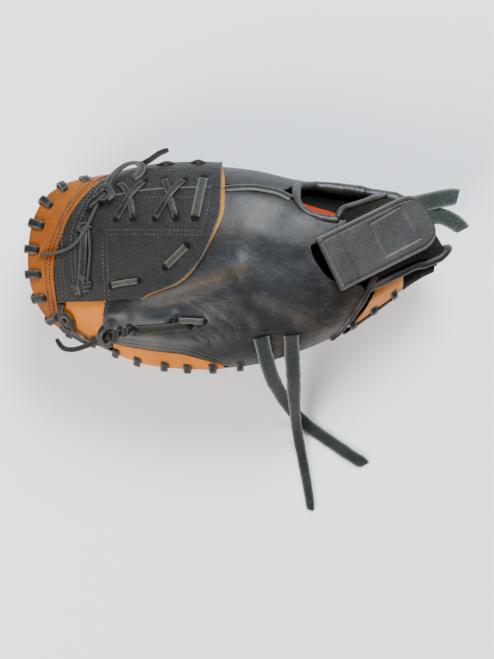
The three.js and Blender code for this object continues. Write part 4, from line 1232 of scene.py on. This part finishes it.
def make_tip_knot():
    knot = [
        [(-138.5, -30, 92), (-140, -36, 91), (-140.5, -42, 89), (-137, -47, 87)],
        [(-141.5, -42, 89.5), (-136.5, -38.5, 92), (-132.5, -42.5, 91.5), (-134.5, -48.5, 89)],
        [(-135.5, -50, 87), (-129.5, -55, 86), (-122, -59.5, 87), (-114.5, -62.5, 89)],
        [(-140, -48, 86), (-136.5, -51.5, 85.5), (-131.5, -49.5, 87.5), (-131, -43.5, 90.5)],
    ]
    parts = [(*round_middle(points, (-132, -35, 62), 24), 4.4, 1.7) for points in knot]
    many_ribbons("tip_knot", parts, 6, LACE)


def make_seam_welt():
    flat = smooth_line([(-9.4, 59.5), (10.2, 60.4), (24, 59), (34, 56), (42, 52)], 60)
    v = np.maximum(place_across(flat[:, 0], flat[:, 1]), SEAM_V + 0.008)
    line, up = under(flat[:, 0], v, -1.2), outward(flat[:, 0], v)
    ribbon("seam_welt", line, np.cross(tangents(line), up), 5.4, 1.8, SUEDE, "suede_lace", ["seam_welt"])


# Lace whipped round the whole rim. Between the two x of BARE_RIM the finger half's rim has only the
# run of the lace and no stitches.
BARE_RIM = (12, 84)
# The rim counts as the tip on the left of RIM_TIP, and its lace ends at RIM_HEEL
RIM_TIP = -120
RIM_HEEL = 125
STITCH_STOPS = 22


def rim_places():
    """Places (x, v) round the rim, from the heel of the finger half by the tip to the other heel."""
    side = RIM_V + 0.01
    places = [(x, side) for x in np.arange(RIM_HEEL, tip_edge(1), -2)]
    places += [(tip_edge(v), v) for v in np.arange(side, -side, -0.01)]
    return places + [(x, -side) for x in np.arange(tip_edge(1), RIM_HEEL, 2)]


def rim_tuck(x, v):
    """How far the run between stitches is drawn in over the rim."""
    if x < RIM_TIP:
        return 2.6
    return 1.8 if v > 0 else 0


def rim_frame(places, k):
    """Point on the rim, and the ways up, off the edge and along it."""
    x, v = places[k]
    point, ahead = outer_face(x, v), outer_face(*places[k + 1])
    along = unit(ahead - point)
    up = outward(x, v)
    return point, up, unit(np.cross(up, along)), along


def rim_stitch(x, v, frame, lean, leg):
    """One stitch, from its hole on the outer face round the rim to the one inside, and its knee."""
    point, up, off, along = frame
    slope = (outer_face(x, v * 0.98) - point) / (-0.02 * v)
    move = off @ slope / (slope @ slope)

    def inset(far):
        return x - off[0] * far, v - move * far

    def on_band(a, b, within=0):
        return a < band_edge(b) - within

    def inner_depth(a, b):
        return BAND_DEPTH if on_band(a, b, 3) else pocket_depth(a, b)

    proud = -BAND_TOP if on_band(x, v) or on_band(*inset(leg)) else 0
    near = -proud - 0.55 - LACE_THICKNESS / 2
    a, b = inset(LACE_INNER_LEG)
    deep = inner_depth(a, b)
    deep_here = inner_depth(x, v) + 0.9
    outside = LACE_OFF + LACE_THICKNESS / 2
    line = [
        under(*inset(leg + 0.8), near + 3.4),
        under(*inset(leg), near + 0.9),
        under(*inset(leg - 2), near - 0.1),
        under(*inset(leg / 2), near - 0.3),
        point - up * near + off * (outside - 1.6),
        point - up * (near + 1.2) + off * outside,
        point - up * (deep_here - 1) + off * outside,
        point - up * deep_here + off * (outside - 1.8),
        under(a, b, deep + 0.9),
        under(*inset(LACE_INNER_LEG + 1), deep - 2),
    ]
    line = smooth_line(line, STITCH_STOPS)
    share = np.linspace(1, -0.3, STITCH_STOPS + 1)[:, None]
    beside_heel = v > 0 and x > BARE_RIM[1]
    drop = mix(near, deep_here, 0.16 if beside_heel else 0.5)
    return line + along * lean * share, point - up * drop + off * (outside - rim_tuck(x, v))


def make_rim_lace():
    draw = np.random.default_rng(SEED + 3)
    places = rim_places()
    stitches, runs, ends = [], [], []
    travelled = LACE_PITCH
    for k in range(len(places) - 1):
        x, v = places[k]
        frame = rim_frame(places, k)
        travelled += np.linalg.norm(outer_face(*places[k + 1]) - frame[0])
        if travelled < LACE_PITCH:
            continue
        travelled -= LACE_PITCH
        on_tip = x < RIM_TIP
        shorter = 0
        if on_tip:
            shorter = 2.2
        elif v > 0:
            shorter = 4
        leg = LACE_LEG - shorter + draw.normal(0, 0.5)
        line, knee = rim_stitch(x, v, frame, draw.normal(0, 1.1), leg)
        ends.append((knee, frame[1], k))
        on_fold = abs(v) < 0.06
        if on_fold or (v > 0 and BARE_RIM[0] < x < BARE_RIM[1]):
            continue
        width = LACE_WIDTH * (1 + draw.normal(0, 0.05)) * (1 if on_tip else 0.9)
        stitches.append((line, np.broadcast_to(frame[3], line.shape), width, LACE_THICKNESS))
    for (first, up, a), (last, _, b) in zip(ends, ends[1:]):
        ways = [rim_stitch(*places[k], rim_frame(places, k), 0, LACE_LEG)[1]
                for k in np.linspace(a, b, 5).astype(int)]
        line = smooth_line(np.vstack([first, ways[1:-1], last]), STITCH_STOPS)
        runs.append((line, np.broadcast_to(up, line.shape), LACE_RUN, 1.7))
    many_ribbons("rim_lace", stitches + runs, 4, LACE, ["rim_lace"], round_edge=0.35)
    return [(line[1], unit(side[0]), width) for line, side, width, _ in stitches]


# Where the finger back is rubbed brown, as lines of the plan
WORN_LINES = table(
    "x0 y0 x1 y1 width share",
    (-60, -27, 4, -2, 6, 0.75),
    (-4, 38, 24, 44, 13, 0.55),
    (54, -40, 84, -46, 13, 0.3),
    (50, -66, 82, -53, 8, 1),
    (27, -60, 40, -61, 6, 1),
    (-12, -81, 16, -75, 5, 0.8),
    (56, 30, 66, 20, 9, 0.7),
    (86, -36, 92, -20, 6, 0.6),
    (-100, -50, -60, -56, 7, 0.2),
)


def worn_back(x, v, points):
    share = 0
    for x0, y0, x1, y1, width, most in rows_of(WORN_LINES):
        far = from_line(points[:, 0], points[:, 1], x0, y0, x1, y1)
        share = share + most * np.exp(-(far / width) ** 2)
    return share * (v > 0) * (0.75 + 0.5 * crumple(points, size=14, seed=9))


def spot(points, x, y, reach):
    return np.exp(-((points[:, 0] - x) ** 2 + (points[:, 1] - y) ** 2) / reach**2)


def dip(points, marks, deep, reach):
    return -deep * np.exp(-(nearest(points, marks) / reach) ** 2)


def hole_marks():
    return np.vstack([on_face([(x, y), (x + 0.1, y)], seat, 1)[0][:1] for x, y, seat, _ in HOLES])


def back_start(v):
    """Left end of a back: under the web's edge, and beside the tip's cap nearer to the rim."""
    bow = 3 * np.sin(np.clip((np.abs(v) - 0.72) / 0.26, 0, 1) * math.pi)
    beside_cap = -104 - bow
    share = np.clip((np.abs(v) - 0.61) / 0.085, 0, 1)
    return mix(web_edge(v) - 5, beside_cap, share * share * (3 - 2 * share))


def make_backs(grooves):
    holes = hole_marks()

    def back_relief(x, v, points):
        lift = 0.4 * crumple(points, size=34, seed=1) + 0.05 * crumple(points, size=8, seed=2)
        creased = spot(points, -28, -42, reach=34) + 0.7 * spot(points, 66, -44, reach=26)
        creased = creased + 0.5 * spot(points, 30, -20, reach=40)
        lift = lift - 0.38 * creased * creases(points, turn=-34, run=19, gap=3.4, seed=40)
        lift = lift - 0.25 * spot(points, 62, 6, reach=26) * creases(points, turn=48, run=16, gap=5, seed=50)
        lift = lift - 1.8 * np.exp(-((v - SEAM_V) / 0.016) ** 2)
        lift = lift + dip(points, grooves["back"], deep=0.35, reach=0.9)
        return lift + dip(points, holes, deep=1.1, reach=3)

    place = panel_place(back_start, finger_end, finger_low, lens_edge)
    leather_slab("finger_back", 150, 112, place, 0, LEATHER, BLACK, ["finger_back"],
                 raw=BLACK, relief=back_relief, wear_and_shade=worn_back)

    def thumb_relief(x, v, points):
        lift = 0.4 * crumple(points, size=34, seed=61)
        lift = lift - 0.3 * creases(points, turn=15, run=24, gap=7, seed=63)
        calm_below = np.clip(v * 4 + 1.6, 0.2, 1)
        return lift * calm_below

    place = panel_place(back_start, back_edge, lambda x: -lens_edge(x), thumb_high)
    leather_slab("thumb_back", 100, 140, place, 0, LEATHER, THUMB, ["thumb_back"],
                 relief=thumb_relief)


def make_edge_panels():
    for name, side in (("finger_edge_panel", 1), ("thumb_edge_panel", -1)):
        place = panel_place(lambda v: np.full_like(v, -98), lambda v: np.full_like(v, -10),
                            lambda x, side=side: side * (lens_edge(x) + 0.006),
                            lambda x, side=side: np.full_like(x, side * (RIM_V + 0.008)))
        leather_slab(name, 80, 12, place, 0.3, LEATHER, TAN, [name], raw=RAW_EDGE,
                     relief=lambda x, v, points: 0.3 * crumple(points, size=15, seed=71))


def make_palm():
    def place(s, t):
        v = mix(-RIM_V, RIM_V, t)
        start = np.where(np.abs(v) < 0.735, web_edge(v) + 3, band_edge(v) + 2)
        return mix(start, heel_edge(v), s), v

    def pocket(x, v):
        wrinkle = crumple(np.stack([x, v * 120, 0 * x], -1), size=22, seed=81)
        return pocket_depth(x, v) - 0.5 - 0.9 * wrinkle

    def rub_and_shade(x, v, points):
        near_fold = np.exp(-(v / 0.3) ** 2)
        return 0.5 * near_fold * (1 + crumple(points, size=24, seed=83))

    # The palm's hand side and heel end are near black: painted shade of the room for the hand
    palm = leather_slab("palm", 76, 130, place, palm_depth, pocket, PALM, ["palm"],
                        round_edge=1.5, raw=INSIDE, raw_from=0.98, outside=INSIDE, wear_and_shade=rub_and_shade)


def over_palm(height):
    return lambda x, v: palm_depth(x, v) - height


def make_hand_lining():
    def place(s, t):
        return mix(38, 82, s), mix(mix(0.155, 0.235, s), 0.42, t)

    leather_slab("hand_lining", 50, 60, place, over_palm(2.2), over_palm(0.8), LINING,
                 ["hand_lining"], relief=lambda x, v, points: 0.7 * crumple(points, size=14, seed=85))


def make_tip_band(grooves):
    def puckers(x, v, points):
        lift = 0.55 * crumple(points, size=16, seed=91) + dip(points, grooves["band"], deep=0.35, reach=0.9)
        corner = spot(points, -146, -26, reach=16) * (v > 0)
        return lift - 1.3 * corner * creases(points, turn=60, run=10, gap=5, seed=93)

    # Painted shade: the band is darkened round its corner beside the tip knot
    def shaded_corner(x, v, points):
        return 0.8 * spot(points, -146, -36, reach=15) * (v > 0)

    place = band_place(tip_edge, band_edge, -RIM_V, RIM_V)
    leather_slab("tip_band", 26, 250, place, BAND_TOP, BAND_DEPTH, BAND, ["tip_band"],
                 raw=RAW_EDGE, relief=puckers, wear_and_shade=shaded_corner, round_edge=0.7)


def make_caps():
    for name, side in (("finger_tip_cap", 1), ("thumb_tip_cap", -1)):
        def place(s, t, side=side):
            v = mix(0.715, RIM_V, t)
            return mix(band_edge(v) + 2.5, -102, s), side * v

        leather_slab(name, 36, 40, place, 1.3, LEATHER + 1, TAN, [name], raw=RAW_EDGE,
                     relief=lambda x, v, points: 0.5 * crumple(points, size=18, seed=95))


# The seam between the web's panels, and its lower edge on the finger half, from the tip band on
WEB_SEAM = 0.262
WEB_LOW = table("s v", (0, 0.808), (0.15, 0.792), (0.35, 0.766), (0.6, 0.728), (0.8, 0.7), (1, 0.683))


def make_web(grooves):
    holes = hole_marks()

    def web_relief(x, v, points):
        lift = 0.4 * crumple(points, size=26, seed=101)
        lift = lift - 0.25 * creases(points, turn=70, run=18, gap=6, seed=103)
        lift = lift + dip(points, grooves["web"], deep=0.4, reach=1)
        return lift + dip(points, holes, deep=1.3, reach=3.2)

    low_edge = column(WEB_LOW, "s", "v")

    def start(v):
        return band_edge(v) + 1

    def finger_place(s, t):
        v = mix(WEB_SEAM - 0.002, low_edge(s), t)
        return mix(start(v), web_edge(v), s), v

    def flare(v):
        middle = np.exp(-((v - 0.3) / 0.17) ** 4)
        corner = np.clip((v - 0.55) / 0.05, 0, 1)
        return 0.4 + 2.6 * middle + 1.2 * corner

    centre_place = band_place(start, web_edge, -WEB_SEAM + 0.006, WEB_SEAM - 0.004)
    thumb_place = band_place(start, web_edge, -0.725, -WEB_SEAM)
    for name, along, over, place, relief in (
        ("web_finger_panel", 110, 80, finger_place, web_relief),
        ("web_centre_panel", 100, 96, centre_place, web_relief),
        ("web_thumb_panel", 80, 60, thumb_place, None),
    ):
        leather_slab(name, along, over, place, WEB_TOP, WEB_BOTTOM, WEB,
                     [name], raw=RAW_EDGE, raw_from=0.98, relief=relief, flare=flare)


def make_web_edges():
    # The grey line along the web's edge stands for its cut edge and a painted highlight along the rounded
    # edge
    v = np.linspace(0.02, 0.64, 80)
    line = under(web_edge(v) - 0.4, v, np.full_like(v, WEB_TOP - 0.15))
    ribbon("web_edge_line", line, np.cross(tangents(line), outward(web_edge(v), v)), 1.15, 0.9, GREY_EDGE,
           "web_leather", over=4, round_edge=0.2)
    x = np.linspace(-98, -20, 90)
    v = np.full_like(x, WEB_SEAM - 0.003)
    line = under(x, v, np.full_like(x, WEB_TOP - 0.1))
    ribbon("web_seam_line", line, np.cross(tangents(line), outward(x, v)), 1.3, 0.9, GREY_EDGE,
           "web_leather", over=4, round_edge=0.2)


def make_web_inside():
    place = band_place(lambda v: band_edge(v) + 2, lambda v: web_edge(v) - 8, -0.69, 0.69)
    leather_slab("web_inner_panel", 50, 90, place, -0.3, BAND_DEPTH, PALM,
                 ["web_inner_panel"])


def beside_edge(places, off, depth, count):
    """A line beside an edge given as places (x, v), and its way up."""
    line, ups = [], []
    for k in range(len(places) - 1):
        point, up, away, _ = rim_frame(places, k)
        line.append(point - up * depth + away * off)
        ups.append(up)
    return smooth_line(line, count), smooth_line(ups, count)


# How far round the wrist the band goes, as v, and how far it lies below the backs' face
WRIST_REACH = 0.74
WRIST_SINK = 0.6


def make_wrist_band():
    place = band_place(band_start, lambda v: band_end(v) + 2.5, -WRIST_REACH, WRIST_REACH)
    band = leather_slab("wrist_band", 60, 150, place, WRIST_SINK, WRIST_SINK + WRIST_LEATHER, FELT,
                        ["wrist_band"],
                        relief=lambda x, v, points: 0.5 * crumple(points, size=18, seed=111), round_edge=1)


# Places (x, v) round the opening for the forefinger, from the heel to under the strap
HAND_HOLE = [
    (142, 0.13), (135, 0.108), (128, 0.09), (117, 0.078), (104, 0.072), (90, 0.075), (75, 0.078),
    (62, 0.082), (53, 0.115), (46.5, 0.175), (46, 0.23), (49, 0.288), (55, 0.325), (63, 0.345),
    (72, 0.36), (80, 0.365)]
# Places along the finger back's end, beside the wrist band
BACK_END = [(73, 0.995), (80, 0.975), (90, 0.897), (98, 0.83), (102.5, 0.78), (106, 0.74), (109.5, 0.71)]


def make_rolls():
    line, up = on_channel(HAND_HOLE, 2, 150)
    past_half = np.clip((np.linspace(0, 1, 151) - 0.5) / 0.15, 0, 1)
    roll("hand_hole_roll", line, up, 3.6, ROLL, ["hand_hole_roll"],
         swell=1.5 - 0.4 * past_half)

    v = np.arange(0.37, -0.27, -0.06)
    line, up = on_channel(np.stack([band_start(v) - 6, v], -1), WRIST_SINK, 80)
    roll("wrist_band_upper_roll", line, up, 2.7, ROLL, ["wrist_band_upper_roll"])

    corner = band_end(WRIST_REACH)
    lower = [(x, WRIST_REACH) for x in np.arange(99, corner, 7)]
    lower += [(float(band_end(v)), v) for v in np.arange(WRIST_REACH - 0.04, -WRIST_REACH, -0.07)]
    lower += [(x, -WRIST_REACH) for x in np.arange(corner, 102, -8)]
    line, up = beside_edge(lower, -4.6, 2.6, 170)
    roll("wrist_band_lower_roll", line, up, 3.3, BLACK, ["wrist_band_lower_roll"])

    line, up = on_channel(BACK_END, WRIST_SINK, 80)
    roll("back_piping", line, up, 2.7, BLACK, ["back_piping"])


def make_heel():
    thick = 2.1
    for half, side in (("finger", 1), ("thumb", -1)):
        for part, start, stop, proud, finish, slot in (
            ("facing", lambda v: finger_end(v) + 12, 133, 4.3, FACING, "tan_leather"),
            ("lining", lambda v: np.full_like(v, 131.5), 157, 4.8, INSIDE, "black_leather"),
        ):
            def place(s, t, side=side, start=start, stop=stop):
                v = mix(0.84, RIM_V, t)
                return mix(start(v), stop, s), side * v

            name = f"{half}_heel_{part}"
            leather_slab(name, 36, 24, place, over_palm(proud), over_palm(proud - thick), finish,
                         [name], relief=lambda x, v, points: 0.4 * crumple(points, size=12, seed=121))


# The strap lies across the wrist: u runs along it from its fold, w across it
STRAP_X, STRAP_Y, STRAP_TURN = 75.9, 2.75, math.radians(26)


def strap_plan(u, w):
    """Place in the plan, x and y."""
    c, s = math.cos(STRAP_TURN), math.sin(STRAP_TURN)
    return STRAP_X + u * c - w * s, STRAP_Y + u * s + w * c


def strap_seat(u):
    """Highest point of the mitt under the strap's width."""
    x, y = strap_plan(u, np.arange(-STRAP_WIDTH / 2, STRAP_WIDTH / 2 + 1, 4))
    return outer_face(x, place_across(x, y))[:, 2].max()


SEAT_STOPS = np.arange(-12, STRAP_LENGTH + 1, 3)
SEATS = np.array([strap_seat(u) for u in SEAT_STOPS])


def strap_lay(u):
    """Height of the strap's lower layer, which spans the hollows under it."""
    span = np.interp(40, SEAT_STOPS, SEATS) - 0.2 * (u - 40)
    return np.maximum(np.interp(u, SEAT_STOPS, SEATS), span) + 1.4


def strap_rise(u):
    """Height of the outer layer over the lower one, with the fastener between them."""
    return mix(7.4, 5.4, np.clip(u / 20, 0, 1))


def strap_route():
    """Stops (u, height, share of the width) from under the fold to the rounded end."""
    stops = [(u, strap_lay(u) - 1.4 * math.exp(-u / 8), 1) for u in (52, 40, 28, 16, 6)]
    bend = strap_rise(0) / 2 + 1.2
    for angle in (-75, -40, -10, 20, 50, 75):
        turn = math.radians(angle)
        stops.append((-bend * math.cos(turn), strap_lay(0) + bend - 2.4 + bend * math.sin(turn), 1))
    stops += [(u, strap_lay(u) + strap_rise(u), 1) for u in (7, 16, 28, 40, 52, 62)]
    corner = 17
    for angle in (5, 20, 35, 50, 62, 72, 80, 85, 88.5):
        turn = math.radians(angle)
        u = STRAP_LENGTH - corner + corner * math.sin(turn)
        stops.append((u, strap_lay(u) + strap_rise(u), math.cos(turn) ** 0.6))
    return stops


# The plain frame pressed into the strap's outer layer, as the plan's four corners
PATCH = [(102.2, 32.2), (127, 46.2), (142.8, 21.6), (114.8, 7.1)]
PRESS_DEPTH = 0.6
PRESS_WIDTH = 0.8
PATCH_SINK = 0.35
# The strap's stitches: distance from its edge, and how far they pull the leather in
STITCH_INSET = 2.6
STITCH_PULL = 0.3
# The width's share is smoothed beside lengths in mm, so it is scaled up to weigh about as much
SHARE_SCALE = 8
STRAP_SIDE = np.array([-math.sin(STRAP_TURN), math.cos(STRAP_TURN), 0])
UP = np.array([0, 0, 1.0])


def strap_line():
    """The strap's middle line, its width's share along it, and the stop where it folds."""
    stops = np.array(strap_route())
    x, y = strap_plan(stops[:, 0], 0)
    line = smooth_line(np.stack([x, y, stops[:, 1], stops[:, 2] * SHARE_SCALE], -1), 230)
    line, share = line[:, :3], np.clip(line[:, 3] / SHARE_SCALE, 0.02, 1)
    return line, share, np.argmin(line[:, 0])


STRAP_LINE, STRAP_SHARE, STRAP_FOLD = strap_line()


def strap_wave(points):
    return 0.35 * crumple(points, size=24, seed=131)


def patch_frame(points):
    """Distance of each point from the pressed frame, and which points lie inside it."""
    x, y = points[:, 0], points[:, 1]
    corners = np.array([*PATCH, PATCH[0]], float)
    lines = list(zip(corners, corners[1:]))
    far = np.min([from_line(x, y, *a, *b) for a, b in lines], axis=0)
    inside = np.all([(b[0] - a[0]) * (y - a[1]) - (b[1] - a[1]) * (x - a[0]) < 0 for a, b in lines], axis=0)
    return far, inside


def make_strap():
    stops = len(STRAP_LINE) - 1
    piece, s, t, upper = start_grid("wrist_strap", stops, 84, walls=True)
    sides, _, _ = face_sides(piece, upper, s)
    at = np.rint(s * stops).astype(int)
    side = np.broadcast_to(STRAP_SIDE, STRAP_LINE.shape)
    points = ribbon_stops(STRAP_LINE, side, STRAP_WIDTH, STRAP_THICKNESS, s, t, upper, STRAP_SHARE,
                          crown=0.1)
    on_top = (at > STRAP_FOLD) & (points[:, 2] > STRAP_LINE[at, 2])
    far, inside = patch_frame(points)
    pressed = PRESS_DEPTH * np.exp(-(far / PRESS_WIDTH) ** 2)
    points[:, 2] -= on_top * (pressed + PATCH_SINK * inside * (1 - np.exp(-far / PRESS_WIDTH)))
    points[:, 2] += strap_wave(points)
    from_edge = (1 - np.abs(2 * t - 1)) * STRAP_WIDTH / 2
    points[:, 2] -= STITCH_PULL * on_top * np.exp(-(from_edge - STITCH_INSET) ** 2 / 0.8)
    write_points(piece, points)
    turn_outward(piece)
    piece.data.materials.append(STRAP)
    piece.data.materials.append(GREY_EDGE)
    piece.data.polygons.foreach_set("material_index", sides.astype(np.int32))
    frame_worn = np.exp(-((far - 0.9) / 0.55) ** 2) * (0.6 + 0.9 * crumple(points, size=9, seed=133))
    mark(piece, "wear_and_shade", np.clip(on_top * frame_worn + 0.5 * np.abs(2 * t - 1) ** 14, 0, 1))
    settle(piece, ["wrist_strap"], round_edge=0.5)


def make_strap_trim():
    top = STRAP_LINE[STRAP_FOLD:]
    half = (STRAP_WIDTH / 2 * STRAP_SHARE[STRAP_FOLD:])[:, None]
    rows = [top + STRAP_SIDE * sign * (half - STITCH_INSET) + UP * (STRAP_THICKNESS / 2)
            for sign in (1, -1)]
    near_fold = 11
    w = np.linspace(-STRAP_WIDTH / 2 + 2, STRAP_WIDTH / 2 - 2, 40)
    x, y = strap_plan(near_fold, w)
    z = strap_lay(near_fold) + strap_rise(near_fold) + STRAP_THICKNESS / 2 + 0.15
    rows.append(np.stack([x, y, np.full_like(x, z)], -1))
    laid = [row + UP * strap_wave(row)[:, None] for row in rows]
    stitching("strap_stitching", [(row, np.broadcast_to(UP, row.shape)) for row in laid], DARK_THREAD,
              pitch=2.5, length=1.9, size=0.85)
    raw = top + STRAP_SIDE * (half + 0.25)
    raw = raw[: int(0.93 * len(raw))]
    ribbon("strap_raw_edge", raw, np.broadcast_to(UP, raw.shape), STRAP_THICKNESS * 0.7, 1.1, GREY_EDGE,
           "strap_leather", round_edge=0.25)


def make_hook_tape():
    u = np.linspace(8, 52, 45)
    x, y = strap_plan(u, 0)
    tape = np.stack([x, y, strap_lay(u) + strap_rise(u) / 2], -1)
    ribbon("hook_tape", tape, np.broadcast_to(STRAP_SIDE, tape.shape), STRAP_WIDTH - 6, 2, FELT,
           "hook_tape", ["hook_tape"], over=20)


def make_fuzz():
    """Fibres of the hook and loop fastener along the strap's two long edges."""
    draw = np.random.default_rng(SEED + 8)
    for name, count, finish, w_mean, spread, lift in (
        ("fastener_fuzz", 1100, FELT, STRAP_WIDTH / 2 - 1, 1.6, 0),
        ("frayed_fibres", 240, GREY_EDGE, STRAP_WIDTH / 2 + 1, 1, 1),
    ):
        places = []
        for _ in range(count):
            u = draw.uniform(-1, 62)
            side = 1 if finish is GREY_EDGE else draw.choice([-1, 1])
            w = side * (w_mean + draw.normal(0, spread))
            x, y = strap_plan(u, w)
            z = strap_lay(u) + strap_rise(u) / 2 + draw.uniform(-1.6, 1.4) + lift
            along = unit(draw.normal(0, 1, 3) + [0, 0, 0.3])
            size = (draw.uniform(1.5, 3.4), 0.25, 0.25)
            places.append((np.array([x, y, z]), along, np.array([0.1, 0.2, 1]), size))
        beads(name, places, finish, segments=4, rings=4)


def make_holes(rim_ends):
    places = []
    for x, y, seat, width in HOLES:
        line, up = on_face([(x, y), (x + 0.5, y)], seat - 0.1, 1)
        places.append((line[0], np.array([1.0, 0, 0]), up[0], (width * 0.95, width * 0.95, 1.1)))
    for point, along, width in rim_ends:
        up = unit(point - np.array([point[0], 0, MID_HEIGHT]))
        places.append((point, along, up, (width * 1.05, 2.4, 1.6)))
    beads("lace_holes", places, HOLLOW, segments=12, rings=7)


make_camera()
make_studio()
make_tails()
marks = make_stitches()
make_face_laces()
make_backs(marks)
make_edge_panels()
make_palm()
make_hand_lining()
make_tip_band(marks)
make_caps()
make_web(marks)
make_web_edges()
make_web_inside()
make_web_knot()
make_fold_laces()
make_tie_loops()
make_hinge_knot()
make_tip_knot()
make_seam_welt()
make_wrist_band()
make_rolls()
make_heel()
make_strap()
make_strap_trim()
make_hook_tape()
make_fuzz()
make_holes(make_rim_lace())
